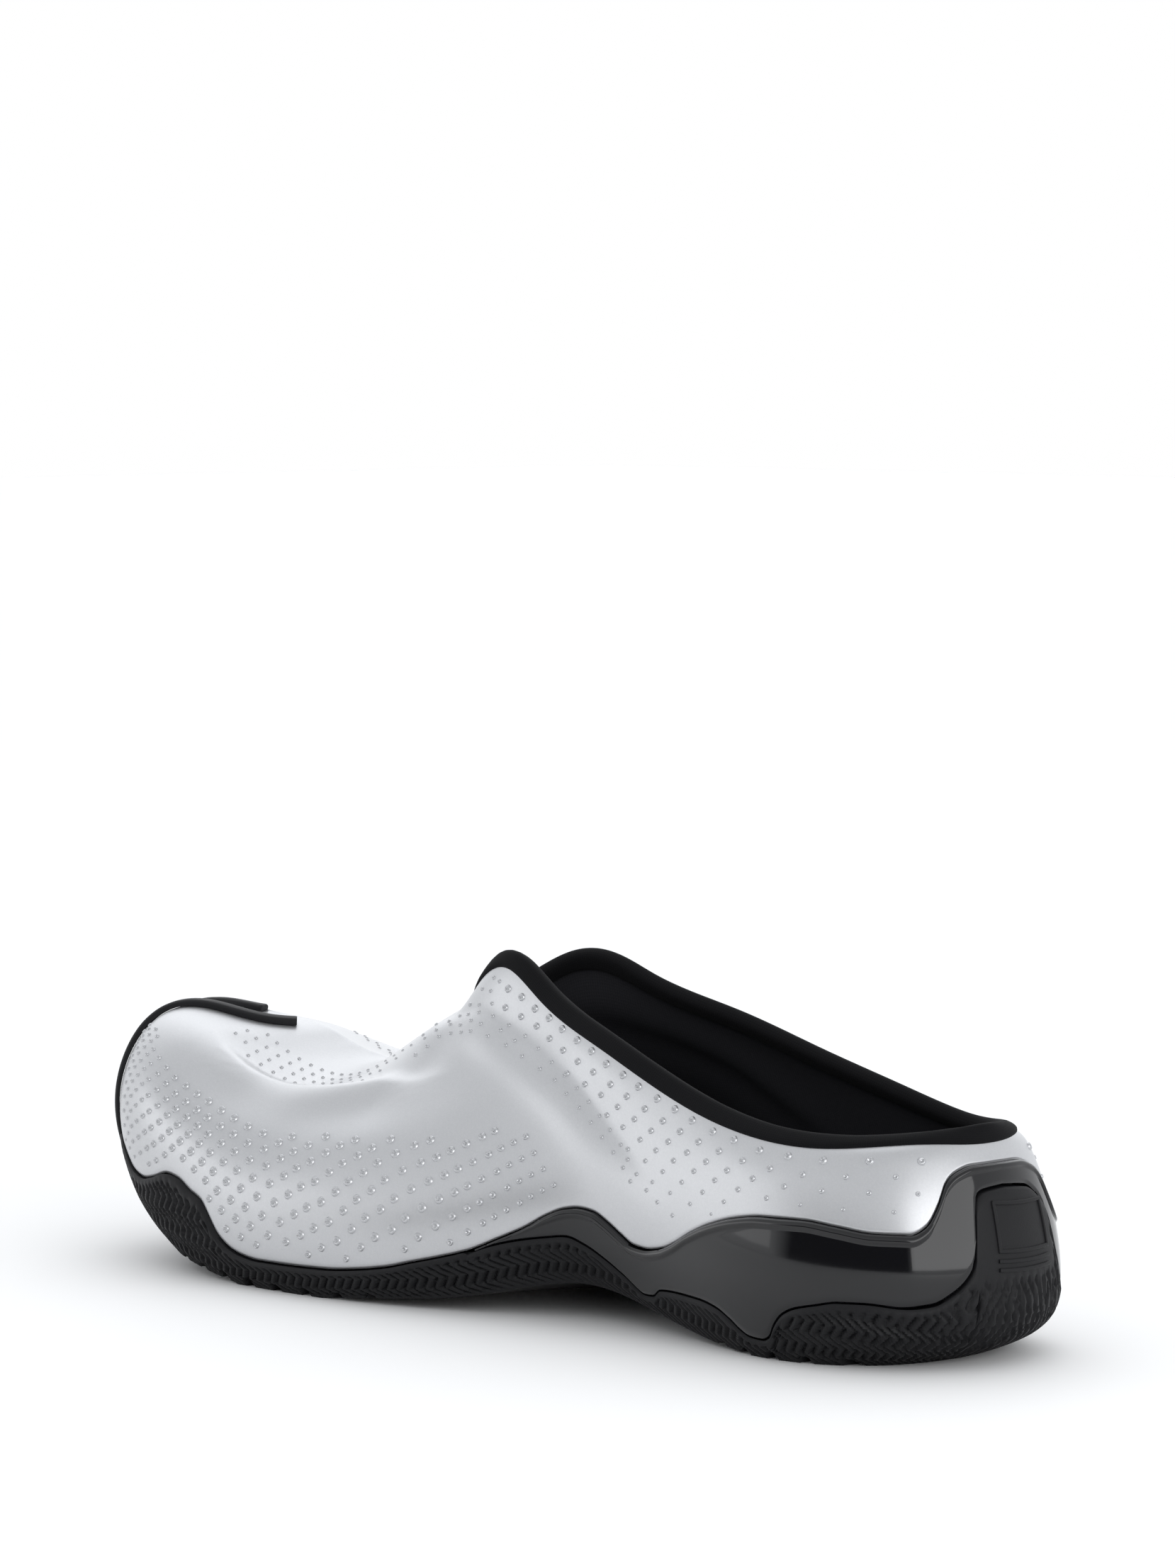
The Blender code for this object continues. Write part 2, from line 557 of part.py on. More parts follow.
def midsole_profile(side, k):
    steep = GAP * float(np.interp(side.u[k], (0.9, 1.1, 1.9, 2.2, 2.5), (1.4, 0, 0, 0.7, 0)))
    low, top = side.rubber_z[k] + GAP / 2 + steep, side.shell_z[k] - GAP / 2 - steep / 2
    ledge = min(low, 14.0 + GAP)
    a, b = side.share_at(k, low), side.share_at(k, top)
    deep = float(np.interp(side.u[k], (0.0, 0.72, 1.3, 2.0), (11.5, 11.5, 8.0, 6.0)))
    points = [side.middle(k, side.rubber_in[k] + 4 * GAP),
              side.inside(k, (ledge + side.rubber_in[k]) / 2 + 3 * GAP, 14.0),
              side.inside(k, ledge + GAP, side.ledge_inset(k, low - GAP - steep) + 2 * GAP + steep),
              side.at(k, low, SHELF - 0.5 + 1.6 * GAP + steep)]
    for s in (a, (a + b) / 2, b):
        points.append(side.point(k, s, -PROUD_GLOSS))
    points += [side.at(k, top, SHELF), side.inside(k, side.bed[k], deep), side.middle(k, side.bed[k])]
    return points


rear = STATIONS[STATIONS <= MIDSOLE_END]
grid = arc_of(rear, midsole_profile)
count, rows = grid.shape[:2]
faces = loft_faces(count, rows, False, False)
ends = [list(range(rows)), [(count - 1) * rows + j for j in range(rows)]]
faces += [tuple(e) for e in ends]
midsole = solid("midsole", grid.reshape(-1, 3), faces, GLOSS)


def insole_profile(side, k):
    bed = side.bed[k]
    deep = float(np.interp(side.u[k], (0.0, 0.72, 1.3, 2.0), (12.2, 12.2, 8.8, 6.8)))
    wall = side.at(k, max(bed, side.shell_z[k] + 1), SHELF)
    deep = max(deep, np.linalg.norm((wall - side.inside(k, 0, 0))[:2]) + 1.6)
    low, high = bed + 2.5 * GAP, bed + 2.5 * GAP + INSOLE_THICK
    return [side.middle(k, low), side.inside(k, low, deep + 0.6), side.inside(k, high - 0.8, deep + 0.8),
            side.inside(k, high, deep + 1.8), side.middle(k, high)]


insole = ring_solid("insole", STATIONS[::2] if len(STATIONS) % 2 else np.append(STATIONS[::2], 14.0),
                    insole_profile, CLOTH)

# The binding is a rounded band over the shell's rim, with the shell and a little room round it cut out.
rim, out = outer[shell_rim], normals[shell_rim]
along = np.roll(rim, -1, 0) - np.roll(rim, 1, 0)
along /= np.linalg.norm(along, axis=1, keepdims=True)
down = np.cross(along, out)
down /= np.linalg.norm(down, axis=1, keepdims=True)
down[down[:, 2] > 0] *= -1
leaf, tall, wall = BINDING_LEAF + GAP, BINDING_HEIGHT, UPPER_WALL
skin_tree = BVHTree.FromPolygons([Vector(p) for p in outer], shell_faces)


def on_skin(p, like):
    """The skin's point nearest to p, and its normal on the same side as the given one."""
    spot, normal, _, _ = skin_tree.find_nearest(Vector(p))
    normal = np.array(normal) * np.sign(np.dot(normal, like))
    normal = normal + 0.6 * like
    return np.array(spot), normal / np.linalg.norm(normal)


grid = []
for r, o, d in zip(rim, out, down):
    (q1, n1), (q2, n2) = on_skin(r + d * tall * 0.5, o), on_skin(r + d * tall, o)
    grid.append([q2 + n2 * leaf * 0.7, q2 * 0.85 + q1 * 0.15 + n2 * leaf, r + o * leaf,
                 r + o * leaf * 0.3 - d * 1.5, r - o * (wall + leaf * 0.3) - d * 1.5, r - o * (wall + leaf),
                 q2 - n2 * (wall + leaf), q2 - n2 * wall / 2])
grid = np.array(grid)
count, rows = grid.shape[:2]
binding = solid("collar_binding", grid.reshape(-1, 3), loft_faces(count, rows, True, True), CLOTH)
room_out, room_in = outer + normals * 1.2 * GAP, inner - normals * 1.2 * GAP
room_out[shell_rim] -= down * GAP * 1.5
room_in[shell_rim] -= down * GAP * 1.5
cut(binding, solid("room", np.vstack([room_out, room_in]), shell_solid_faces, CLOTH))


def rib(name, path):
    knots = np.concatenate([[0], np.cumsum([np.hypot((b[0] - a[0]) * 16, (b[1] - a[1]) * 90)
                                             for a, b in zip(path, path[1:])])])
    steps = np.linspace(0, knots[-1], 15)
    uv = spline(knots, np.array(path), steps)
    e = 0.02
    def place(u, v):
        ctrl, _, _ = columns([u], 1)
        return section(ctrl[0], True, [v])[0]
    here = np.array([place(u, v) for u, v in uv])
    du = np.array([place(u + e, v) - place(u - e, v) for u, v in uv])
    dv = np.array([place(u, v + e) - place(u, v - e) for u, v in uv])
    normal = np.cross(du, dv)
    normal /= np.linalg.norm(normal, axis=1, keepdims=True)
    normal *= np.sign(((here - centre) * normal).sum(1))[:, None]
    ahead = np.gradient(here, axis=0)
    across = np.cross(ahead, normal)
    across /= np.linalg.norm(across, axis=1, keepdims=True)
    w, h = RIB_WIDTH / 2, RIB_HEIGHT
    shape = [(-w, 0.42), (-w + 0.6, h + 0.3), (w - 0.6, h + 0.3), (w, 0.42), (0, 0.32)]
    grid = np.array([[p + a * s + m * t for s, t in shape] for p, a, m in zip(here, across, normal)])
    count, rows = grid.shape[:2]
    faces = loft_faces(count, rows, False, True)
    faces += [tuple(range(rows)), tuple((count - 1) * rows + j for j in range(rows))]
    return solid(name, grid.reshape(-1, 3), faces, RUBBER)


for name, path in RIBS.items():
    rib(name, path)

# The whole shoe stands with its box's bottom centre at the origin.
shoe = list(bpy.context.scene.collection.objects)
corners = np.array([v.co for o in shoe for v in o.data.vertices])
low, high = corners.min(0), corners.max(0)
shift = Vector((-(low[0] + high[0]) / 2, -(low[1] + high[1]) / 2, -low[2]))
for o in shoe:
    for v in o.data.vertices:
        v.co += shift
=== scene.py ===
"""The slip-on shoe dressed: its last, shell, frame, sole, binding and footbed, in the model's own place."""
import math

import bpy
import numpy as np
from mathutils import Matrix, Vector


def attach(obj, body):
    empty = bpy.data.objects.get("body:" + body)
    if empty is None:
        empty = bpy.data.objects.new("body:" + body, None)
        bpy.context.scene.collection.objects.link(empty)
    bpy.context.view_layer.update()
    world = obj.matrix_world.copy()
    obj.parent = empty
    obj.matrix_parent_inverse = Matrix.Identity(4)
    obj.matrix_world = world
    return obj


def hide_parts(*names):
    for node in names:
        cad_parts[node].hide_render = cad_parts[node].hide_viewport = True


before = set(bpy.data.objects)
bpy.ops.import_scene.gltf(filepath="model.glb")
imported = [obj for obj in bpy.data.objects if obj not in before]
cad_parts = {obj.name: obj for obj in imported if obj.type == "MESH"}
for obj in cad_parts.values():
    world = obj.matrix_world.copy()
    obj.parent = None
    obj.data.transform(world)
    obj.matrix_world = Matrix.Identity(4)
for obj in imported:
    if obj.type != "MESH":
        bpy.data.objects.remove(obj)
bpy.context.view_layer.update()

# Sizes in millimetres, as in the part
LENGTH = 303.5
BALL_WIDTH = 116.0
EAR_HEIGHT = 89.6
GAP = 0.3
UPPER_WALL = 2.6
SHELF_ROOM = 1.1
PROUD_RUBBER = 1.0
PROUD_GLOSS = 0.6
RIB_HEIGHT = 2.0
RIB_WIDTH = 5.0
INSOLE_THICK = 4.0
TREAD_WIDTH = 2.6
TREAD_DEPTH = 2.0
TREAD_KEEL = -2.0
# Tread: first groove's x, pitch, grooves, how far forward their ends lie
TREAD = ((24, 9.5, 5, 9), (166, 10.5, 10, 14))

# Stations of the collar's throat, the gloss frame's front end and the toe, and stations all round the shoe
THROAT = 8
MIDSOLE_END = 5.9
TOE = 14
ALL_ROUND = 2 * TOE

# The shoe's place: its box's bottom centre is the origin
PLACE = np.array([-151.147, 1.441, 0.0])

# The tables below are the pattern of a shoe of this length, ball width and ear height. They are graded to the
# sizes above.
PATTERN = (303.5, 116.0, 89.6)
GRADE = np.array([LENGTH, BALL_WIDTH, EAR_HEIGHT]) / PATTERN
IN_PLAN = (GRADE[0] * GRADE[1]) ** 0.5
SHELF = UPPER_WALL + SHELF_ROOM

# Plan of each station: spine x, y | medial outline x, y | lateral outline x, y
PLAN = np.array([
    (38, 0, -1.5, 0, -1.5, 0),
    (41, 0, 9.3, 27, 9.3, -28),
    (47, 0, 36, 38.5, 36, -40),
    (66, -1, 64, 38.5, 64, -43),
    (90, -3, 92, 35, 92, -46),
    (116, -4, 119, 36.5, 119, -50),
    (142, -4, 146, 44.5, 146, -55),
    (166, -3, 173, 51.5, 173, -58.5),
    (184, -2, 198, 55, 198, -59.5),
    (202, -1, 222, 56.5, 222, -58.5),
    (218, 0, 246, 55, 246, -54.5),
    (240, 1.5, 270, 50, 269, -45.5),
    (257, 3.5, 288.2, 38.6, 288, -30.5),
    (263, 4.5, 299.5, 21.5, 300, -12.5),
    (266, 5, 303.5, 3.5, 303.5, 3.5),
]) * np.tile(GRADE[:2], 3)

# Section of each station: inset from the outline (i) and height (z) of the bottom edge (0), the low side (1),
# the widest point (2), the upper side (3), the shoulder (4) and the surface above it (5).
SECTION_GRADE = np.where([c == "i" for c in "izizziziziz"], IN_PLAN, GRADE[2])
# i0, z0, i1, z1, z2, i3, z3, i4, z4, i5, z5
MEDIAL = np.array([
    (18.5, 0.0, 2.5, 8.5, 20, 3.0, 39, 6.5, 49, 9.0, 53.5),
    (15.0, 0.0, 2.5, 8.5, 21, 3.0, 40, 6.5, 49, 9.0, 53.0),
    (6.5, 0.0, 1.2, 9.0, 23, 2.5, 40, 5.0, 47.5, 8.0, 52.0),
    (6.0, 0.8, 1.2, 11, 25, 2.5, 42, 5.0, 50, 7.5, 54.5),
    (6.5, 5.2, 1.6, 15, 28, 2.0, 44, 4.5, 53.5, 6.5, 60),
    (6.5, 10.0, 2.0, 18, 30, 4.0, 48, 7.5, 60, 10.0, 67.5),
    (4.5, 5.0, 1.5, 12, 27, 9.0, 48, 17.0, 63, 21.5, 73),
    (3.0, 1.8, 1.0, 7.0, 22, 9.0, 42, 23.5, 58.5, 31.0, 74),
    (3.0, 0.0, 1.0, 5.0, 20, 7.0, 38, 26.0, 53.5, 41.0, 69.5),
    (4.0, 0.0, 1.2, 6.0, 21, 6.0, 37, 24.5, 50.0, 41.0, 58.0),
    (5.5, 2.8, 1.6, 10, 26, 4.5, 42, 23.0, 51.0, 40.0, 54.5),
    (11.5, 5.0, 3.2, 17, 34, 3.2, 50, 15.0, 60.5, 33.0, 61.5),
    (17.5, 7.5, 6.8, 19.0, 39, 3.2, 55, 12.0, 65.0, 28.0, 66.6),
    (18.5, 9.0, 7.0, 20.5, 40, 3.4, 56, 12.0, 64.5, 27.0, 66.4),
    (19.0, 9.5, 7.0, 21.0, 40, 3.5, 55, 12.0, 63.3, 26.0, 65.8),
]) * SECTION_GRADE
LATERAL = np.array([
    (18.5, 0.0, 2.5, 8.5, 20, 3.0, 39, 6.5, 49, 9.0, 53.5),
    (15.0, 0.0, 2.5, 8.5, 20, 3.0, 39, 6.5, 49, 9.0, 53.0),
    (7.5, 0.0, 1.2, 8.5, 21, 3.0, 40, 6.0, 48.0, 8.5, 52.0),
    (7.0, 0.0, 1.2, 8.5, 22, 4.0, 42, 7.5, 51, 10.5, 56.5),
    (6.5, 0.8, 1.2, 9.0, 23, 5.5, 44, 10.0, 55, 13.5, 61.5),
    (6.0, 1.6, 1.2, 9.0, 23, 8.5, 47, 15.0, 61, 20.0, 69),
    (5.0, 0.8, 1.0, 8.0, 22, 12.0, 48, 22.5, 63, 29.0, 73.5),
    (4.0, 0.0, 1.0, 6.0, 21, 11.0, 42, 27.0, 58.5, 37.0, 74),
    (4.0, 0.0, 1.0, 5.5, 20, 8.0, 38, 29.0, 53.5, 43.0, 67.5),
    (4.5, 0.0, 1.2, 6.5, 21, 6.5, 36, 25.0, 48.5, 42.0, 52.0),
    (6.0, 2.8, 1.8, 10, 25, 4.5, 38, 20.0, 47.5, 38.0, 51.0),
    (11.0, 5.0, 3.4, 15, 30, 3.4, 42, 14.0, 51.5, 31.0, 57.5),
    (17.0, 7.5, 6.5, 18.5, 34, 3.4, 48, 13.0, 58.0, 28.0, 62.0),
    (18.5, 9.0, 7.0, 20.5, 38, 3.5, 53, 13.0, 61.5, 27.0, 64.5),
    (19.0, 9.5, 7.0, 21.0, 40, 3.5, 55, 12.0, 63.3, 26.0, 65.8),
]) * SECTION_GRADE

# Collar rim of each station up to the throat: medial x, y, z | lateral x, y, z
RIM = np.array([
    (9.5, 0, 57.6, 9.5, 0, 57.6),
    (18.0, 15.5, 56.3, 18.0, -17, 56.3),
    (38.0, 27.0, 55.2, 38.0, -28, 54.8),
    (64.0, 28.6, 57.8, 64.0, -29.5, 60.0),
    (90.0, 26.8, 64.6, 90.0, -28.2, 66.9),
    (116, 23.6, 73.5, 116, -25.0, 74.8),
    (140, 19.8, 82.4, 142, -20.5, 82.4),
    (162, 14.5, 89.6, 166, -14.0, 87.0),
    (183, -2.0, 75.5, 183, -2.0, 75.5),
]) * np.tile(GRADE, 2)

# Height of the ridge along the top, from the throat's station to the toe's
RIDGE = np.array([75.5, 67.0, 57.2, 61.3, 64.2, 65.2, 65.6]) * GRADE[2]

# Each station's middle of the sole: height of the bottom, of the rubber's inner face, and of the footbed
MIDDLE = np.array([
    # bottom, rubber, bed
    (0.0, 9.0, 22.0),
    (0.0, 9.0, 22.0),
    (0.0, 9.0, 22.0),
    (0.0, 9.0, 22.0),
    (2.5, 9.0, 21.5),
    (5.0, 11.0, 20.0),
    (2.5, 8.5, 16.8),
    (0.8, 7.5, 13.0),
    (0.0, 7.0, 11.5),
    (0.0, 7.0, 11.5),
    (0.8, 7.0, 12.0),
    (2.2, 8.0, 14.0),
    (4.6, 10.0, 17.0),
    (5.6, 11.0, 18.5),
    (6.2, 11.0, 19.0),
]) * GRADE[2]

# Where the silver shell ends above the black: station, height
SHELL_EDGE = np.array([
    (0.00, 49.6), (0.31, 49.4), (0.51, 48.0), (0.63, 45.6), (0.72, 40.6), (0.84, 35.6), (0.98, 33.8),
    (1.30, 33.9), (1.62, 35.0), (1.95, 35.9), (2.42, 35.5), (2.74, 34.2), (3.07, 31.6), (3.34, 28.4),
    (3.56, 25.1), (3.74, 23.2), (3.95, 22.3), (4.12, 22.7), (4.27, 24.7), (4.46, 27.7), (4.63, 29.8),
    (4.80, 30.3), (4.96, 29.7), (5.17, 27.4), (5.37, 24.2), (5.67, 20.4), (6.00, 16.5), (6.26, 14.5),
    (6.57, 12.4), (6.88, 10.3), (7.24, 8.9), (7.62, 8.0), (8.20, 7.7), (8.60, 7.7), (8.85, 8.4),
    (9.05, 9.8), (9.24, 12.8), (9.40, 17.6), (9.55, 21.4), (9.75, 23.4), (10.00, 26.2), (10.20, 26.9),
    (10.48, 25.1), (10.72, 24.1), (11.00, 25.0), (11.40, 29.0), (12.00, 34.0), (13.00, 37.5), (14.00, 38.5),
]) * (1, GRADE[2])
SHELL_EDGE_LATERAL = np.array([
    (0.00, 49.6), (0.31, 49.4), (0.51, 48.0), (0.63, 45.6), (0.72, 40.6), (0.84, 35.6), (0.98, 33.8),
    (1.30, 33.9), (1.62, 34.6), (1.95, 35.0), (2.42, 34.2), (2.74, 32.4), (3.07, 29.4), (3.56, 23.6),
    (3.95, 21.0), (4.30, 22.6), (4.75, 25.4), (5.05, 24.6), (5.45, 20.6), (6.00, 15.6), (6.57, 11.8),
    (7.24, 9.2), (7.80, 8.4), (8.60, 8.2), (9.05, 10.0), (9.40, 15.5), (9.75, 21.6), (10.20, 24.5),
    (10.72, 23.6), (11.40, 28.0), (12.00, 33.0), (13.00, 37.2), (14.00, 38.5),
]) * (1, GRADE[2])

# Where the gloss frame ends above the rubber: station, height
RUBBER_EDGE = np.array([
    (0.00, 43.9), (0.25, 43.2), (0.345, 41.8), (0.385, 38.0), (0.42, 27.0), (0.50, 22.4), (0.63, 19.2),
    (0.80, 16.7), (1.00, 16.1), (1.38, 17.0), (1.60, 16.9), (1.80, 15.8), (2.02, 14.2), (2.14, 12.4),
    (2.24, 9.4), (2.32, 6.2), (2.42, 5.0), (2.56, 5.2), (2.68, 6.6), (2.80, 9.0), (2.95, 11.1),
    (3.20, 12.4), (3.55, 12.7), (3.80, 12.3), (3.96, 10.2), (4.08, 10.0), (4.31, 14.2), (4.53, 18.0),
    (4.75, 21.0), (4.95, 22.6), (5.19, 21.8), (5.49, 20.3), (5.77, 18.2), (6.00, 15.6),
]) * (1, GRADE[2])
RUBBER_EDGE_LATERAL = np.array([
    (0.00, 43.9), (0.30, 43.1), (0.46, 40.6), (0.56, 36.6), (0.62, 27.0), (0.70, 21.6), (0.80, 17.8),
    (1.00, 16.2), (1.38, 16.8), (1.80, 15.2), (2.14, 11.6), (2.32, 6.8), (2.42, 5.8), (2.56, 6.0),
    (2.80, 9.0), (3.20, 11.2), (3.80, 10.4), (4.20, 9.6), (4.75, 14.6), (5.19, 16.6), (5.70, 16.0),
    (6.00, 14.6),
]) * (1, GRADE[2])

# Toe ribs as (station, share of the section from bottom edge to top), from the sole up to the square end
RIBS = {
    "toe_rib_1": ((11.95, 0.27), (11.96, 0.34), (11.98, 0.43), (12.14, 0.54), (12.34, 0.64), (12.26, 0.72),
                  (12.00, 0.79), (11.72, 0.84), (11.50, 0.885), (11.40, 0.945)),
    "toe_rib_2": ((12.78, 0.29), (12.80, 0.37), (12.84, 0.45), (13.10, 0.56), (13.44, 0.68), (13.46, 0.78),
                  (13.24, 0.87), (12.76, 0.955)),
}


def slopes_of(knots, values, period):
    """Slopes at the knots of the smooth curve through the values."""
    n = len(knots)
    a, b = np.zeros((n, n)), np.zeros((n, values.shape[1]))
    if period is None:
        h = np.diff(knots)
        d = np.diff(values, axis=0) / h[:, None]
        a[0, :2], b[0] = (2, 1), 3 * d[0]
        a[-1, -2:], b[-1] = (1, 2), 3 * d[-1]
        inner = range(1, n - 1)
    else:
        h = np.diff(np.append(knots, knots[0] + period))
        d = (np.roll(values, -1, 0) - values) / h[:, None]
        inner = range(n)
    for i in inner:
        before, after = (i - 1) % n, (i + 1) % n
        a[i, before] += h[i]
        a[i, i] += 2 * (h[before] + h[i])
        a[i, after] += h[before]
        b[i] = 3 * (h[i] * d[before] + h[before] * d[i])
    return np.linalg.solve(a, b)


def hermite(knots, values, slopes, at):
    i = np.clip(np.searchsorted(knots, at, side="right") - 1, 0, len(knots) - 2)
    h = (knots[i + 1] - knots[i])[:, None]
    t = (at - knots[i])[:, None] / h
    return (values[i] * (1 + 2 * t) * (1 - t) ** 2 + slopes[i] * h * t * (1 - t) ** 2
            + values[i + 1] * t * t * (3 - 2 * t) - slopes[i + 1] * h * t * t * (1 - t))


def spline(knots, values, at, period=None):
    """The smooth curve through the values, closed when it has a period."""
    values, at = np.asarray(values, float), np.asarray(at, float)
    knots = np.asarray(knots, float)
    slopes = slopes_of(knots, values, period)
    if period is not None:
        at = np.mod(at, period)
        knots = np.append(knots, period)
        values, slopes = np.vstack([values, values[:1]]), np.vstack([slopes, slopes[:1]])
    return hermite(knots, values, slopes, at)


def eased(knots, values, at):
    """A curve through the values that never goes past them."""
    knots, values, at = np.asarray(knots, float), np.asarray(values, float), np.asarray(at, float)
    h = np.diff(knots)
    d = np.diff(values) / h
    m = np.concatenate([d[:1], np.zeros(len(d) - 1), d[-1:]])
    for i in range(1, len(d)):
        if d[i - 1] * d[i] > 0:
            w1, w2 = 2 * h[i] + h[i - 1], h[i] + 2 * h[i - 1]
            m[i] = (w1 + w2) / (w1 / d[i - 1] + w2 / d[i])
    return hermite(knots, values[:, None], m[:, None], at)[:, 0]


def round_the_ring(medial, lateral, u, side):
    """Values at stations u of one side, smooth round the whole ring. The first columns are plan x and y."""
    last = len(medial) - 1
    ring = np.vstack([medial, lateral[-2:0:-1]])
    closed = np.vstack([ring, ring[:1]])
    t = np.concatenate([[0], np.cumsum(np.linalg.norm(np.diff(closed[:, :2], axis=0), axis=1))])
    rows = t[:last + 1] if side > 0 else np.concatenate([[t[-1]], t[-2:last - 1:-1]])
    at = np.interp(u, np.arange(last + 1), rows)
    return spline(t[:-1], ring, at, t[-1])


def columns(u, side):
    """For stations u: the sections' control points, the way inward in plan, and the spine points."""
    u = np.asarray(u, float)
    both = [np.hstack([PLAN[:, k:k + 2], table]) for k, table in ((2, MEDIAL), (4, LATERAL))]
    row = round_the_ring(both[0], both[1], u, side)
    outline, sec = row[:, :2], row[:, 2:]
    index = np.arange(len(PLAN))
    spine = np.stack([eased(index, PLAN[:, k], u) for k in (0, 1)], 1)
    way = spine - outline
    way /= np.linalg.norm(way, axis=1, keepdims=True)
    i0, z0, i1, z1, z2, i3, z3, i4, z4, i5, z5 = sec.T
    z0 = np.where(z0 < 0.35, 0.0, z0)
    top = np.empty((len(u), 3))
    collar = u <= THROAT
    if collar.any():
        top[collar] = round_the_ring(RIM[:, :3], RIM[:, 3:], u[collar], side)
    if (~collar).any():
        z = spline(np.arange(len(RIDGE)), RIDGE[:, None], u[~collar] - THROAT)
        top[~collar] = np.hstack([spine[~collar], z])
    pairs = ((i0, z0), (i1, z1), (0 * z2, z2), (i3, z3), (i4, z4), (i5, z5))
    ctrl = [np.column_stack([outline + way * np.reshape(i, (-1, 1)), z]) for i, z in pairs]
    return np.stack(ctrl + [top], 1), way, spine


def section(ctrl, over_top, v):
    """Points of one section at shares v, 0 at the bottom edge and 1 at the top."""
    if over_top:
        mirror = ctrl[5:3:-1].copy()
        mirror[:, :2] = 2 * ctrl[6, :2] - mirror[:, :2]
        ctrl = np.vstack([ctrl, mirror])
    t = np.concatenate([[0], np.cumsum(np.linalg.norm(np.diff(ctrl, axis=0), axis=1) ** 0.8)])
    return spline(t, ctrl, np.asarray(v, float) * t[6])


# The skin of the last, as a ring: medial stations from the heel to the toe, then lateral ones back

STEP = 0.02
STATIONS = np.arange(0, TOE + STEP / 2, STEP)
SHARES = np.linspace(0, 1, 181)
HALF = len(STATIONS) - 1
RING = 2 * HALF
MIDDLE_OF_SHOE = (150, 0, 30)


def cast(side):
    """One side's skin, and its ways inward and spine, station by station."""
    ctrl, way, spine = columns(STATIONS, side)
    skin = [section(c, u >= THROAT, SHARES) for c, u in zip(ctrl, STATIONS)]
    return np.array(skin), way, spine, ctrl


def on_the_ring(medial, lateral):
    return np.concatenate([medial, lateral[-2:0:-1]])


def reach(ring, r):
    """Rows of a ring at places r, counted in stations round the shoe."""
    at = np.mod(np.asarray(r, float), ALL_ROUND) / STEP
    i = np.floor(at).astype(int) % RING
    t = (at - np.floor(at)).reshape((-1,) + (1,) * (ring.ndim - 1))
    return ring[i] * (1 - t) + ring[(i + 1) % RING] * t


def across(rows, shares):
    """Points of each row at its own shares."""
    at = np.clip(np.asarray(shares, float), 0, 1) * (len(SHARES) - 1)
    j = np.minimum(np.floor(at).astype(int), len(SHARES) - 2)
    t = (at - j)[..., None]
    k = np.arange(len(rows)).reshape((-1,) + (1,) * (j.ndim - 1))
    return rows[k, j] * (1 - t) + rows[k, j + 1] * t


def normals_of(skin):
    """The skin's directions outwards, away from the shoe's middle."""
    along = np.roll(skin, -1, 0) - np.roll(skin, 1, 0)
    up = np.gradient(skin, axis=1)
    n = np.cross(along, up)
    # Both sides meet in one point at the toe's top, which takes its neighbours' direction
    n[HALF, -1] = n[HALF - 1, -1] + n[HALF + 1, -1]
    n /= np.linalg.norm(n, axis=2, keepdims=True) + 1e-12
    return n * np.sign(((skin - MIDDLE_OF_SHOE) * n).sum(2).mean())


# How far from the throat the skin is eased, in stations, and how many times
EASED_REACH = 0.3
EASED_PASSES = 60


def even_throat(skin):
    """Eases the small step at the throat, where the sections start to run over the top."""
    for side in (1, -1):
        near = np.flatnonzero((np.abs(STATION - THROAT) < EASED_REACH) & (SIDE == side))
        for _ in range(EASED_PASSES):
            skin[near] = (skin[near - 1] + 2 * skin[near] + skin[near + 1]) / 4
    return skin


halves = [cast(1), cast(-1)]
STATION = on_the_ring(STATIONS, STATIONS)
SIDE = np.where(np.arange(RING) <= HALF, 1, -1)
BARE = even_throat(on_the_ring(halves[0][0], halves[1][0]))
WAY = on_the_ring(halves[0][1], halves[1][1])
SPINE = on_the_ring(halves[0][2], halves[1][2])
EDGE_POINTS = on_the_ring(halves[0][3], halves[1][3])
LEAN = normals_of(BARE)


def edge_heights(medial, lateral, limit):
    rows = [eased(t[:, 0], t[:, 1], np.minimum(STATIONS, limit)) for t in (medial, lateral)]
    return on_the_ring(*rows)


SHELL_Z = edge_heights(SHELL_EDGE, SHELL_EDGE_LATERAL, TOE)
RUBBER_LAST = RUBBER_EDGE[-1, 0]
RUBBER_Z = edge_heights(RUBBER_EDGE, RUBBER_EDGE_LATERAL, RUBBER_LAST)
RUBBER_Z = np.where(STATION < RUBBER_LAST, np.minimum(RUBBER_Z, SHELL_Z), SHELL_Z)
BELLY_Z, RUBBER_IN_Z, BED_Z = (
    on_the_ring(*[eased(np.arange(len(MIDDLE)), MIDDLE[:, k], STATIONS)] * 2) for k in range(3))


def ring_place(station, side):
    """The place on the ring of a station on one side."""
    return np.where(np.asarray(side) > 0, station, ALL_ROUND - np.asarray(station, float))


def share_at(r, z):
    """Shares at which the bare last first reaches heights z."""
    tall = reach(BARE[:, :, 2], r)
    z = np.broadcast_to(np.asarray(z, float), (len(tall),))
    over = tall >= z[:, None]
    j = np.clip(over.argmax(1), 1, len(SHARES) - 1)
    k = np.arange(len(tall))
    low, high = tall[k, j - 1], tall[k, j]
    t = np.clip((z - low) / np.maximum(high - low, 1e-6), 0, 1)
    return np.where(over[:, 0], 0.0, SHARES[j - 1] + (SHARES[j] - SHARES[j - 1]) * t)


# The shell's main forms, in millimetres out of the last, each along a line of (station, share)

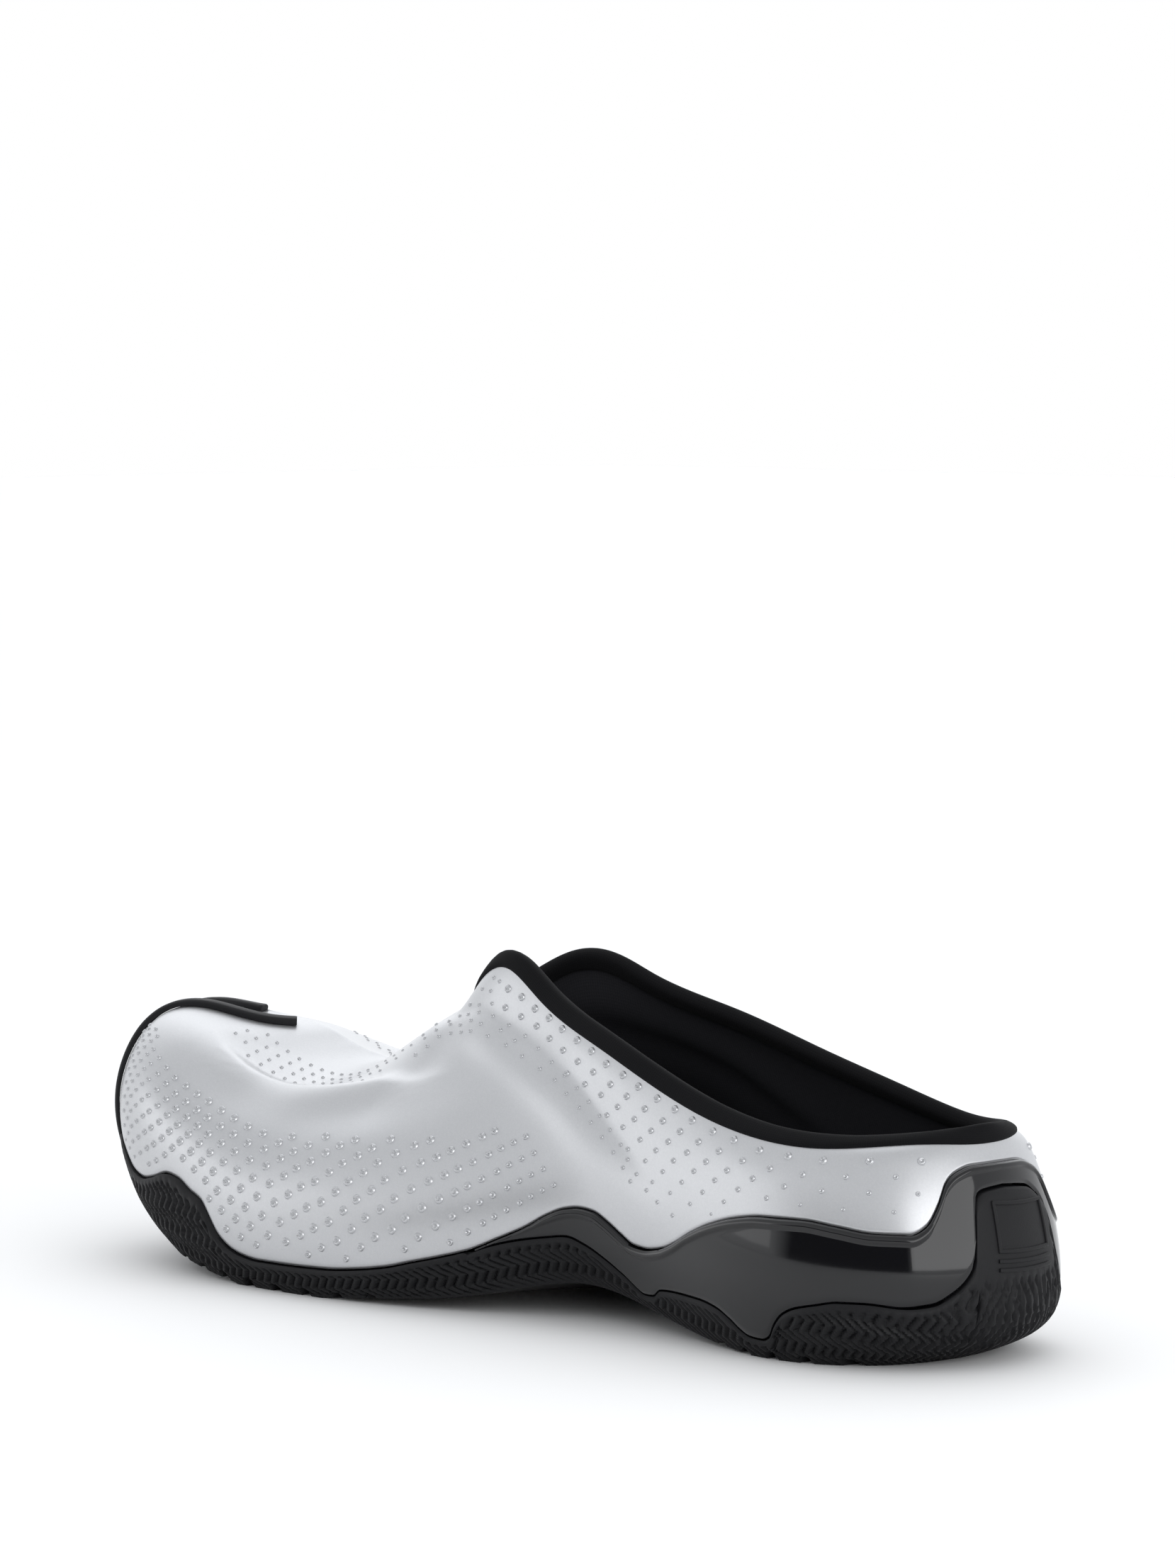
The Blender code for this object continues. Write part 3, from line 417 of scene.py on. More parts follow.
CREST = ((11.25, 0.77), (11.03, 0.706), (10.5, 0.642), (10.15, 0.626), (9.78, 0.622), (9.25, 0.616),
         (8.75, 0.610), (8.30, 0.619), (7.85, 0.634), (7.08, 0.640), (6.40, 0.650))
CREASE = ((8.75, 0.83), (8.45, 0.855), (8.1, 0.872), (7.73, 0.878), (7.35, 0.868), (7.0, 0.850),
          (6.60, 0.838), (6.28, 0.832), (5.93, 0.826), (5.55, 0.804), (5.18, 0.769), (4.90, 0.725),
          (4.40, 0.650), (3.90, 0.581), (3.43, 0.506))

# Millimetres to a station and to the whole of a section, about
STATION_MM = 25
SECTION_MM = 85
# Stands for points that are nowhere near a line
FAR = 99.0

# The brow along the crest: height on each side, and reach above and below the line
BROW_HEIGHT = {1: 2.6, -1: 1.5}
BROW_REACH = (3.0, 8.0)
# The dish above the crest: depth and width
DISH_DEPTH = 1.9
DISH_WIDTH = 42
# The crease: depth, and reach above and below the line. A swell runs under it.
FOLD_DEPTH = 1.15
FOLD_REACH = (6.5, 3.4)
SWELL_HEIGHT = 0.55
SWELL_BELOW = 8.5
SWELL_REACH = 4.5
# The hollow behind the throat: its place, depth, and reach along and up
HOLLOW_PLACE = (7.35, 0.785)
HOLLOW_DEPTH = 1.5
HOLLOW_REACH = (14, 7.5)


def smooth(low, high, x):
    """A soft step from 0 at low to 1 at high."""
    t = np.clip((np.asarray(x, float) - low) / (high - low), 0, 1)
    return t * t * (3 - 2 * t)


def stray(line, side):
    """For points near a line: the distance, positive above it, and how far along it they are, 0 to 1."""
    line = np.array(line)
    t = np.linspace(0, 1, 121)
    steps = np.hypot(np.diff(line[:, 0]) * STATION_MM, np.diff(line[:, 1]) * SECTION_MM)
    knots = np.concatenate([[0], np.cumsum(steps)])
    trail = spline(knots / knots[-1], line, t)
    r = ring_place(trail[:, 0], side)
    path = across(reach(BARE, r), trail[:, 1])
    d = np.full(BARE.shape[:2], FAR)
    where = np.zeros(BARE.shape[:2])
    low, high = line[:, 0].min() - 0.9, line[:, 0].max() + 0.9
    order = np.argsort(trail[:, 0])
    here = (SIDE == side) | (STATION < STEP / 2)
    for k in np.flatnonzero((STATION >= low) & (STATION <= high) & here):
        gap = np.linalg.norm(BARE[k][:, None] - path[None], axis=2)
        near = gap.argmin(1)
        level = np.interp(STATION[k], trail[order, 0], trail[order, 1])
        d[k] = gap[np.arange(len(SHARES)), near] * np.where(SHARES > level, 1, -1)
        where[k] = t[near]
    return d, where


def bell(d, reach_above, reach_below):
    """A bell over distances d, with its own reach above and below."""
    return np.exp(-np.where(d > 0, d / reach_above, d / reach_below) ** 2)


def forms():
    """How far the shell stands out of the last at each point."""
    lift = np.zeros(BARE.shape[:2])
    u = STATION[:, None]
    v = SHARES[None]
    for side in (1, -1):
        d, t = stray(CREST, side)
        keep = smooth(0.0, 0.28, t) * (1 - smooth(0.55, 0.95, t))
        inside = np.clip(d / DISH_WIDTH, 0, 1)
        ends = smooth(11.4, 10.3, u) * smooth(7.3, 9.1, u)
        dish = -DISH_DEPTH * np.sin(math.pi * inside) ** 0.8 * (d > 0) * ends
        brow = BROW_HEIGHT[side] * bell(d, *BROW_REACH)
        lift += np.where(d < FAR, brow * keep + dish, 0)
        d, t = stray(CREASE, side)
        keep = smooth(0.0, 0.16, t) * (1 - smooth(0.66, 1.0, t))
        fold = -FOLD_DEPTH * bell(d, *FOLD_REACH)
        swell = SWELL_HEIGHT * bell(d + SWELL_BELOW, SWELL_REACH, SWELL_REACH)
        lift += np.where(d < FAR, (fold + swell) * keep, 0)
        away = (u - HOLLOW_PLACE[0]) * STATION_MM / HOLLOW_REACH[0]
        up = (v - HOLLOW_PLACE[1]) * SECTION_MM / HOLLOW_REACH[1]
        lift -= HOLLOW_DEPTH * np.exp(-away ** 2 - up ** 2) * (SIDE[:, None] == side)
    return lift


def mend_ridge(skin):
    """Both sides meet on the ridge ahead of the throat."""
    k = np.flatnonzero((STATION >= THROAT) & (SIDE > 0) & (STATION < TOE))
    other = RING - k
    middle = (skin[k, -1] + skin[other, -1]) / 2
    skin[k, -1] = middle
    skin[other, -1] = middle
    return skin


SKIN = mend_ridge(BARE + LEAN * forms()[:, :, None])
FACING = mend_ridge(normals_of(SKIN))


def skin_point(r, v):
    """Points of the shell's skin at places r and shares v."""
    return across(reach(SKIN, r), v)


def skin_normal(r, v):
    """The skin's directions outwards at the same places."""
    n = across(reach(FACING, r), v)
    return n / np.linalg.norm(n, axis=-1, keepdims=True)


OUTLINE = EDGE_POINTS[:, 2, :2]
LAP_STEPS = np.linalg.norm(np.roll(OUTLINE, -1, 0) - OUTLINE, axis=1)
LAP = np.concatenate([[0], np.cumsum(LAP_STEPS)])


def paired_places(number, end=TOE):
    """Places spaced evenly along the medial outline, and the lateral ones across from them."""
    spots = np.arange(HALF + 1) * STEP
    laps = LAP[:HALF + 1]
    u = np.interp(np.linspace(0, np.interp(end, spots, laps), number), laps, spots)
    u[0] = 0.0
    u[-1] = end
    if end == TOE:
        return np.concatenate([u, ALL_ROUND - u[::-1][1:]])
    return np.concatenate([-u[::-1], u[1:]])


def lap_at(r):
    """Millimetres along the outline from the heel's middle."""
    return np.interp(np.mod(r, ALL_ROUND), np.arange(RING + 1) * STEP, LAP)


def station_of(r):
    r = np.mod(r, ALL_ROUND)
    return np.where(r <= TOE, r, ALL_ROUND - r)


# Modelling helpers


def alone(piece):
    bpy.ops.object.select_all(action="DESELECT")
    piece.select_set(True)
    bpy.context.view_layer.objects.active = piece


def laid_grid(name, points):
    """A grid primitive laid over rows of points, (columns, rows, 3) in millimetres, its doubles merged."""
    count, rows = points.shape[:2]
    bpy.ops.object.select_all(action="DESELECT")
    bpy.ops.mesh.primitive_grid_add(x_subdivisions=count - 1, y_subdivisions=rows - 1, size=1.0,
                                    calc_uvs=True)
    piece = bpy.context.active_object
    piece.name = name
    flat = np.empty(len(piece.data.vertices) * 3)
    piece.data.vertices.foreach_get("co", flat)
    spots = flat.reshape(-1, 3)
    i = np.rint((spots[:, 0] + 0.5) * (count - 1)).astype(int)
    j = np.rint((spots[:, 1] + 0.5) * (rows - 1)).astype(int)
    placed = (points[i, j] + PLACE) / 1000
    piece.data.vertices.foreach_set("co", placed.ravel())
    stretch_uvs(piece, points)
    piece.data.update()
    tidy_up(piece)
    return piece


def stretch_uvs(piece, points):
    """UVs in centimetres along and across the piece's middle lines."""
    count, rows = points.shape[:2]
    along = np.linalg.norm(np.diff(points[:, rows // 2], axis=0), axis=1).sum() / 10
    over = np.linalg.norm(np.diff(points[count // 2], axis=0), axis=1).sum() / 10
    layer = piece.data.uv_layers.active.data
    uv = np.empty(len(layer) * 2)
    layer.foreach_get("uv", uv)
    uv = uv.reshape(-1, 2) * (along, over)
    layer.foreach_set("uv", uv.ravel())


def tidy_up(piece, gap=2e-6):
    alone(piece)
    bpy.ops.object.mode_set(mode="EDIT")
    bpy.ops.mesh.select_all(action="SELECT")
    bpy.ops.mesh.remove_doubles(threshold=gap)
    bpy.ops.mesh.normals_make_consistent(inside=False)
    bpy.ops.object.mode_set(mode="OBJECT")
    face_out(piece)
    bpy.ops.object.shade_smooth()


def face_out(piece):
    """Turns the piece's faces round where they enclose a volume below zero."""
    middle = sum((v.co for v in piece.data.vertices), Vector()) / len(piece.data.vertices)
    volume = sum((f.center - middle).dot(f.normal) * f.area for f in piece.data.polygons)
    if volume < 0:
        bpy.ops.object.mode_set(mode="EDIT")
        bpy.ops.mesh.select_all(action="SELECT")
        bpy.ops.mesh.flip_normals()
        bpy.ops.object.mode_set(mode="OBJECT")


def close_ends(piece):
    """Faces over the piece's open ends."""
    alone(piece)
    bpy.ops.object.mode_set(mode="EDIT")
    bpy.ops.mesh.select_all(action="DESELECT")
    bpy.ops.mesh.select_mode(type="EDGE")
    bpy.ops.mesh.select_non_manifold(extend=False, use_wire=False, use_multi_face=False,
                                     use_non_contiguous=False, use_verts=False)
    bpy.ops.mesh.edge_face_add()
    bpy.ops.mesh.select_all(action="SELECT")
    bpy.ops.mesh.normals_make_consistent(inside=False)
    bpy.ops.object.mode_set(mode="OBJECT")


def crisp(piece, degrees):
    alone(piece)
    bpy.ops.object.shade_smooth_by_angle(angle=math.radians(degrees))


def joined(name, pieces):
    bpy.ops.object.select_all(action="DESELECT")
    for p in pieces:
        p.select_set(True)
    bpy.context.view_layer.objects.active = pieces[0]
    bpy.ops.object.join()
    pieces[0].name = name
    return pieces[0]


# Materials


class Reading:
    """A shader value that adds, multiplies and compares as a number does."""

    def __init__(self, finish, socket):
        self.finish = finish
        self.socket = socket

    def _math(self, operation, *values):
        return self.finish.node("ShaderNodeMath", {"operation": operation}, *values)

    def __add__(self, other):
        return self._math("ADD", self, other)

    __radd__ = __add__

    def __sub__(self, other):
        return self._math("SUBTRACT", self, other)

    def __rsub__(self, other):
        return self._math("SUBTRACT", other, self)

    def __mul__(self, other):
        return self._math("MULTIPLY", self, other)

    __rmul__ = __mul__

    def wave(self):
        return self._math("SINE", self)

    def bent(self):
        return self._math("ABSOLUTE", self)

    def within(self):
        return self.finish.node("ShaderNodeClamp", {}, self)


class Nodes:
    """A node tree, with one way to add nodes to it."""

    def __init__(self, tree):
        self.tree = tree

    def node(self, kind, settings, *values, out=0, **named):
        n = self.tree.nodes.new(kind)
        for key, value in settings.items():
            if key == "stops":
                ramp = n.color_ramp.elements
                while len(ramp) < len(value):
                    ramp.new(0.5)
                for stop, (at, colour) in zip(ramp, value):
                    stop.position = at
                    stop.color = (*colour, 1)
            else:
                setattr(n, key, value)
        pairs = list(enumerate(values)) + [(k.replace("_", " "), v) for k, v in named.items()]
        for key, value in pairs:
            if isinstance(value, Reading):
                self.tree.links.new(value.socket, n.inputs[key])
            elif value is not None:
                n.inputs[key].default_value = value
        return Reading(self, n.outputs[out])


class Finish(Nodes):
    """One material and its nodes."""

    def __init__(self, name, colour, roughness, **constants):
        self.material = bpy.data.materials.new(name)
        self.material.use_nodes = True
        super().__init__(self.material.node_tree)
        self.shader = self.tree.nodes["Principled BSDF"]
        self.shader.inputs["Base Color"].default_value = (*colour, 1)
        self.shader.inputs["Roughness"].default_value = roughness
        for key, value in constants.items():
            self.shader.inputs[key.replace("_", " ")].default_value = value

    def place(self):
        return self.node("ShaderNodeTexCoord", {}, out="Object")

    def chart(self):
        return self.node("ShaderNodeUVMap", {"uv_map": "UVMap"})

    def grain(self, where, scale, detail=2.0, rough=0.5):
        return self.node("ShaderNodeTexNoise", {}, Vector=where, Scale=scale, Detail=detail, Roughness=rough)

    def cells(self, where, scale, spread=1.0):
        return self.node("ShaderNodeTexVoronoi", {}, Vector=where, Scale=scale, Randomness=spread)

    def blend(self, factor, first, second):
        """A colour between two others."""
        n = self.tree.nodes.new("ShaderNodeMix")
        n.data_type = "RGBA"
        for key, value in ((0, factor), (6, first), (7, second)):
            if isinstance(value, Reading):
                self.tree.links.new(value.socket, n.inputs[key])
            elif key == 0:
                n.inputs[key].default_value = value
            else:
                n.inputs[key].default_value = (*value, 1)
        return Reading(self, n.outputs[2])

    def feed(self, name, value):
        self.tree.links.new(value.socket, self.shader.inputs[name])

    def bump(self, height, strength, distance):
        bump = self.node("ShaderNodeBump", {}, Strength=strength, Distance=distance, Height=height)
        self.feed("Normal", bump)


def silver_finish(name, dark, pale, smooth_by):
    """Satin silver paint with fine flakes, faint scuffs and a soft orange peel."""
    f = Finish(name, pale, 0.4, Metallic=0.6, Coat_Weight=0.10, Coat_Roughness=0.3)
    at = f.place()
    broad = f.grain(at, 22, 3.0)
    fine = f.grain(at, 1500, 2.0, 0.6)
    speck = f.grain(at, 4200, 1.0)
    flake = f.cells(at, 2600)
    scuffs = f.grain(f.node("ShaderNodeMapping", {}, Vector=at, Scale=(1.0, 4.0, 9.0)), 160, 4.0, 0.7)
    rub = ((scuffs - 0.62) * 6).within()
    tone = (broad * 0.35 + fine * 0.4 + flake * 0.3).within()
    colour = f.blend(tone, dark, pale)
    f.feed("Base Color", f.blend(rub * 0.12, colour, (0.40, 0.405, 0.42)))
    f.feed("Roughness", 0.32 - smooth_by + broad * 0.06 + fine * 0.05 + rub * 0.08)
    f.feed("Metallic", 0.62 + flake * 0.2)
    f.bump(fine * 0.6 + speck * 0.4, 0.22, 0.00008)
    return f.material


def gloss_finish():
    """Moulded gloss black with a faint smear and a little dust."""
    f = Finish("black_gloss", (0.004, 0.004, 0.005), 0.08, Specular_IOR_Level=0.42, Coat_Weight=0.15,
               Coat_Roughness=0.03)
    at = f.place()
    smear = f.grain(at, 60, 4.0, 0.6)
    dust = ((f.grain(at, 900, 2.0, 0.6) - 0.66) * 5).within()
    f.feed("Base Color", f.blend(dust * 0.25, (0.0035, 0.0035, 0.0045), (0.016, 0.016, 0.018)))
    f.feed("Roughness", 0.04 + smear * 0.05 + dust * 0.12)
    f.bump(f.grain(at, 45, 2.0), 0.05, 0.0004)
    return f.material


def rubber_finish():
    """Matte black rubber, slightly rubbed."""
    f = Finish("black_rubber", (0.006, 0.006, 0.007), 0.6, Specular_IOR_Level=0.22)
    at = f.place()
    fine = f.grain(at, 2400, 3.0, 0.6)
    broad = f.grain(at, 45, 3.0)
    rub = ((f.grain(at, 260, 4.0, 0.7) - 0.58) * 5).within()
    wear = (broad * 0.6 + rub * 0.35).within()
    f.feed("Base Color", f.blend(wear, (0.0045, 0.0045, 0.0055), (0.0125, 0.0125, 0.014)))
    f.feed("Roughness", 0.50 + broad * 0.1 + rub * 0.12)
    f.bump(fine, 0.35, 0.00009)
    return f.material


def cloth_finish(name, dark, pale, across_cm, along_cm, depth, sheen):
    """A fine knit on the piece's own chart: wales and courses by the centimetre."""
    f = Finish(name, dark, 0.9, Specular_IOR_Level=0.08, Sheen_Weight=sheen, Sheen_Roughness=0.5)
    chart = f.chart()
    parts = f.tree.nodes.new("ShaderNodeSeparateXYZ")
    f.tree.links.new(chart.socket, parts.inputs[0])
    x = Reading(f, parts.outputs[0])
    y = Reading(f, parts.outputs[1])
    wales = (x * (along_cm * math.pi)).wave().bent()
    courses = (y * (across_cm * math.pi) + wales * 1.2).wave().bent()
    fluff = f.grain(f.place(), 1800, 3.0, 0.6)
    broad = f.grain(f.place(), 30, 2.0)
    knit = wales * 0.5 + courses * 0.5
    f.feed("Base Color", f.blend((knit * 0.5 + fluff * 0.3 + broad * 0.2).within(), dark, pale))
    f.feed("Roughness", 0.82 + fluff * 0.14)
    f.bump(knit * 0.7 + fluff * 0.3, 0.5, depth)
    return f.material


SILVER = silver_finish("silver_shell", (0.462, 0.469, 0.485), (0.595, 0.60, 0.613), 0.0)
# The rings are the shell's silver, a little smoother, and painted a little darker: painted shade that sets
# them off from the shell
RING_SILVER_PAINTED_SHADE = silver_finish("ring_silver_painted_shade", (0.44, 0.447, 0.462), (0.57, 0.576, 0.59), 0.10)
GLOSS = gloss_finish()
RUBBER = rubber_finish()
BINDING_CLOTH = cloth_finish("binding_cloth", (0.0028, 0.0028, 0.0034), (0.0085, 0.0085, 0.0095), 16, 16,
                             0.00012, 0.02)
LINING_CLOTH = cloth_finish("lining_cloth", (0.018, 0.018, 0.021), (0.036, 0.036, 0.041), 12, 12,
                            0.00008, 0.01)
FOOTBED_CLOTH = cloth_finish("footbed_cloth", (0.004, 0.004, 0.005), (0.012, 0.012, 0.013), 9, 9,
                             0.00012, 0.03)


def dress(piece, material, slot, *nodes):
    piece.data.materials.clear()
    piece.data.materials.append(material)
    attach(piece, "root")
    if nodes:
        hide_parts(*nodes)
    return piece


# Walls: a strip of rows from the inner face's top, round its foot, to the outer face's top

# Millimetres to the whole of the shell's section, about, and how far up its lower edge is rounded
WALL_MM = 95
EDGE_ROUNDING = 0.55


def walled(name, r, start, outside, inside, rows_out, rows_in, edge):
    """A hollow wall between two depths under the skin. Its rim is closed, and its sides meet on the ridge."""
    u = station_of(r)
    steps = np.linspace(0, 1, rows_out)
    v = start[:, None] + (1 - start[:, None]) * steps
    outer = skin_point(r, v)
    up = (v - start[:, None]) * WALL_MM
    drop = outside + edge * np.exp(-(up / EDGE_ROUNDING) ** 2)
    outer = outer - skin_normal(r, v) * drop[:, :, None]
    inner_v = start[:, None] + (1 - start[:, None]) * np.linspace(1, 0, rows_in)
    inner = skin_point(r, inner_v) - skin_normal(r, inner_v) * inside
    foot = (outer[:, :1] + inner[:, -1:]) / 2
    points = np.concatenate([inner, foot, outer], axis=1)
    last = len(r) - 1
    for k in np.flatnonzero((r >= THROAT) & (r < TOE)):
        for row in (0, -1):
            middle = (points[k, row] + points[last - k, row]) / 2
            points[k, row] = middle
            points[last - k, row] = middle
    closing = np.where((u <= THROAT)[:, None], points[:, 0], points[:, -1])
    points = np.concatenate([points, closing[:, None]], axis=1)
    points[-1] = points[0]
    return laid_grid(name, points)


# The lining takes the last of the wall's thickness, and a little room lies between it and the shell.
LINING_THICK = 0.9
LINING_ROOM = 0.1


def silver_shell():
    r = paired_places(331)
    foot = share_at(r, reach(SHELL_Z, r) + GAP / 2)
    inside = UPPER_WALL - LINING_THICK - LINING_ROOM
    return walled("silver_shell", r, foot, 0.0, inside, 100, 26, 0.5)


def lining():
    r = paired_places(141)
    foot = share_at(r, np.maximum(reach(SHELL_Z, r) + 0.8, reach(BED_Z, r) + 2.0))
    return walled("lining", r, foot, UPPER_WALL - LINING_THICK, UPPER_WALL, 16, 40, 0.0)


shell = dress(silver_shell(), SILVER, "silver_shell", "upper")
dress(lining(), LINING_CLOTH, "binding_cloth")


def skin_at(r, z, inward=0.0):
    """The bare last's points at heights z, moved inward in plan."""
    p = across(reach(BARE, r), share_at(r, z)[:, None])[:, 0]
    p[:, :2] += reach(WAY, r) * np.reshape(inward, (-1, 1))
    return p


SPANS = np.linalg.norm(np.diff(BARE, axis=1), axis=2).sum(1)


# Gloss frame: a raised lip runs along its upper edge, with a step under it

LIP_HEIGHT = 0.5
# Where the step under the lip starts and ends, below the upper edge
LIP_STEP = (1.5, 2.2)
# Height of the carrier's ledge at most, and how far in from the outline its slope to the spine bends
LEDGE_HEIGHT = 14.0
LEDGE_IN = 14.0
# The rubber's lip ends this much short of the shell's shelf.
LIP_SET_BACK = 0.5
# Stations over which the heel cup's foot moves out, and its depths inward from the outline
CUP_STATIONS = (0.0, 0.72, 1.3, 2.0)
CUP_DEPTHS = np.array((11.5, 11.5, 8.0, 6.0))


def inward_at(r, z, inward):
    """Points at heights z, moved inward in plan from the outline."""
    plan = reach(EDGE_POINTS, r)[:, 2, :2] + reach(WAY, r) * np.reshape(inward, (-1, 1))
    return np.column_stack([plan, z + 0 * r])


def frame_floor(r, low, steep):
    """The carrier's underside, from the spine out to the frame's foot, over the rubber."""
    rubber = reach(RUBBER_IN_Z, r)
    ledge = np.minimum(low, LEDGE_HEIGHT + GAP)
    wall = skin_at(r, low - GAP - steep)
    inset = np.linalg.norm(wall[:, :2] - reach(EDGE_POINTS, r)[:, 2, :2], axis=1)
    deep = np.maximum(4.2, inset + SHELF + 0.3) + 2 * GAP + steep
    middle = inward_at(r, (ledge + rubber) / 2 + 3 * GAP, LEDGE_IN)
    foot = skin_at(r, low, SHELF - LIP_SET_BACK + 1.6 * GAP + steep)
    spine = np.column_stack([reach(SPINE, r), rubber + 4 * GAP])
    return np.stack([spine, middle, inward_at(r, ledge + GAP, deep), foot], axis=1)


def frame_top(r, top):
    """The heel cup's inner wall, rounded into the carrier's bed, which ends on the spine."""
    u = station_of(r)
    bed = reach(BED_Z, r)
    deep = np.interp(u, CUP_STATIONS, CUP_DEPTHS)
    rim = skin_at(r, top, SHELF)
    foot = inward_at(r, bed, deep)
    rows = [rim]
    for t in (0.2, 0.4, 0.6, 0.8, 0.92):
        rows.append(rim + (foot - rim) * t)
    rows += [foot, inward_at(r, bed, deep + 3.0), np.column_stack([reach(SPINE, r), bed])]
    return np.stack(rows, axis=1)


def gloss_frame():
    r = paired_places(231, MIDSOLE_END)
    u = station_of(r)
    steep = GAP * np.interp(u, (0.9, 1.1, 1.9, 2.2, 2.5), (1.4, 0, 0, 0.7, 0))
    low = reach(RUBBER_Z, r) + GAP / 2 + steep
    top = reach(SHELL_Z, r) - GAP / 2 - steep / 2
    a = share_at(r, low)[:, None]
    b = share_at(r, top)[:, None]
    span = reach(SPANS, r)[:, None]
    tall = (b - a) * span
    # Rows lie close together at both edges and over the step
    near = np.array([0, 0.25, 0.6, 1.1, 1.5, 1.8, 2.1, 2.5, 3.2])
    share = np.linspace(0, 1, 13)[1:-1]
    upper = np.minimum(near, tall * 0.4 + 0 * near)
    lower = np.minimum(np.array([0, 0.3, 0.8]), tall * 0.2)
    middle = lower[:, -1:] + (tall - upper[:, -1:] - lower[:, -1:]) * share
    rows = np.concatenate([lower, middle, tall - upper[:, ::-1]], axis=1)
    v = a + rows / span
    from_top = tall - rows
    size = np.clip(tall / 6, 0.25, 1)
    lift = PROUD_GLOSS + LIP_HEIGHT * size * (1 - smooth(*LIP_STEP, from_top / size))
    lift = lift - 0.55 * np.exp(-(from_top / 0.35) ** 2) - 0.5 * np.exp(-(rows / 0.35) ** 2)
    skin = reach(BARE, r)
    face = across(skin, v)
    out = across(reach(LEAN, r), v)
    face = face + out * lift[:, :, None]
    points = np.concatenate([frame_floor(r, low, steep), face, frame_top(r, top)], axis=1)
    piece = laid_grid("gloss_frame", points)
    close_ends(piece)
    crisp(piece, 50)
    return piece


dress(gloss_frame(), GLOSS, "black_gloss", "midsole")


# Rubber sole: ribbed side walls and a grooved tread

# The side walls' ribs: depth, pitch along the wall, height of a zigzag, its swing and its lean
SIDE_RIB_DEPTH = 0.95
SIDE_RIB_PITCH = 2.85
ZIGZAG_HEIGHT = 7.0
ZIGZAG_SWING = 3.6
ZIGZAG_LEAN = 0.35


def grooved(points):
    """Points lifted to the floor of the tread's chevron grooves."""
    x, y, z = points[..., 0], points[..., 1], points[..., 2]
    station_x = PLAN[:, 0]
    for first, pitch, number, lean in TREAD:
        reach_y = np.where(y > TREAD_KEEL, 70 - TREAD_KEEL, 70 + TREAD_KEEL)
        line = first * GRADE[0] + lean * np.abs(y - TREAD_KEEL) / reach_y
        for g in range(number):
            at = line + pitch * g * GRADE[0]
            belly = float(np.interp((first + pitch * g) * GRADE[0] + 0.35 * lean, station_x, MIDDLE[:, 0]))
            roof = belly + TREAD_DEPTH
            inside = 1 - smooth(TREAD_WIDTH / 2 - 0.25, TREAD_WIDTH / 2 + 0.35, np.abs(x - at))
            z = np.where(z < roof, z + (roof - z) * inside, z)
    return np.stack([x, y, z], -1)


def side_ribs(r, v, top_share, z):
    """Depth of the wall's nested zigzag ribs below its face."""
    u = station_of(r)[:, None]
    span = reach(SPANS, r)[:, None]
    h = v * span
    from_top = (top_share[:, None] - v) * span
    s = lap_at(r)[:, None]
    zig = 2 * np.abs(np.mod(h / ZIGZAG_HEIGHT, 1) - 0.5)
    slope = ZIGZAG_LEAN * h * np.where(np.mod(r, ALL_ROUND)[:, None] < TOE, -1, 1)
    phase = np.mod((s + slope + ZIGZAG_SWING * zig) / SIDE_RIB_PITCH, 1)
    cut = smooth(0.24, 0.40, 0.5 - np.abs(phase - 0.5))
    zone = smooth(1.4, 2.2, from_top) * smooth(0.2, 1.0, h)
    pad = (1 - smooth(0.50, 0.62, u)) * smooth(20.5, 22.5, z)
    neck = smooth(3.5, 6.0, top_share[:, None] * span)
    return SIDE_RIB_DEPTH * cut * zone * (1 - pad) * neck


def rubber_wall():
    """The sole's side walls, from the bottom edge up to the lip under the frame or the shell."""
    r = paired_places(621)
    top = reach(RUBBER_Z, r) - GAP / 2
    top_share = share_at(r, top)
    # The last rows lie close together, for the rounded upper edge
    steps = np.concatenate([np.linspace(0, 1, 34)[:-2], [0.984, 0.994, 1]])
    v = top_share[:, None] * steps
    skin = reach(BARE, r)
    face = across(skin, v)
    proud = PROUD_RUBBER * np.interp(steps, (0, 0.33, 0.66, 1), (0, 0.65, 1, 1))[None] * np.ones_like(v)
    from_top = (top_share[:, None] - v) * reach(SPANS, r)[:, None]
    proud = proud - 0.6 * np.exp(-(from_top / 0.4) ** 2)
    ways = reach(WAY, r)[:, None]
    face[:, :, :2] -= ways * proud[:, :, None]
    face = face - across(reach(LEAN, r), v) * side_ribs(r, v, top_share, face[..., 2])[:, :, None]
    face = grooved(face)
    back = skin_at(r, top, SHELF - LIP_SET_BACK)[:, None]
    points = np.concatenate([face, back], axis=1)
    points[-1] = points[0]
    piece = laid_grid("rubber_wall", points)
    crisp(piece, 60)
    return piece


def rubber_tread():
    """The sole's underside, from the bottom edge in to the spine."""
    r = paired_places(501)
    edge = reach(EDGE_POINTS, r)[:, 0]
    spine = reach(SPINE, r)
    belly = reach(BELLY_Z, r)
    t = np.linspace(0, 1, 46)[None, :, None]
    half_z = edge[:, 2] * 0.6 + belly * 0.4
    plan = edge[:, None, :2] * (1 - t) + spine[:, None, :2] * t
    s = t[..., 0]
    z = np.where(s < 0.5, edge[:, 2:] + (half_z[:, None] - edge[:, 2:]) * s * 2,
                 half_z[:, None] + (belly[:, None] - half_z[:, None]) * (s * 2 - 1))
    points = grooved(np.concatenate([plan, z[..., None]], axis=2))
    points[-1] = points[0]
    piece = laid_grid("rubber_tread", points[:, ::-1])
    crisp(piece, 50)
    return piece


dress(rubber_wall(), RUBBER, "black_rubber", "outsole")
dress(rubber_tread(), RUBBER, "black_rubber", "outsole")


# Footbed: a cloth-covered board with a shallow heel cup

# How far the board's edge keeps inside the cup's foot, by station, and how deep its own cup is
BOARD_ROOM = np.array((0.7, 0.7, 0.8, 0.8))
BOARD_CUP = 0.9


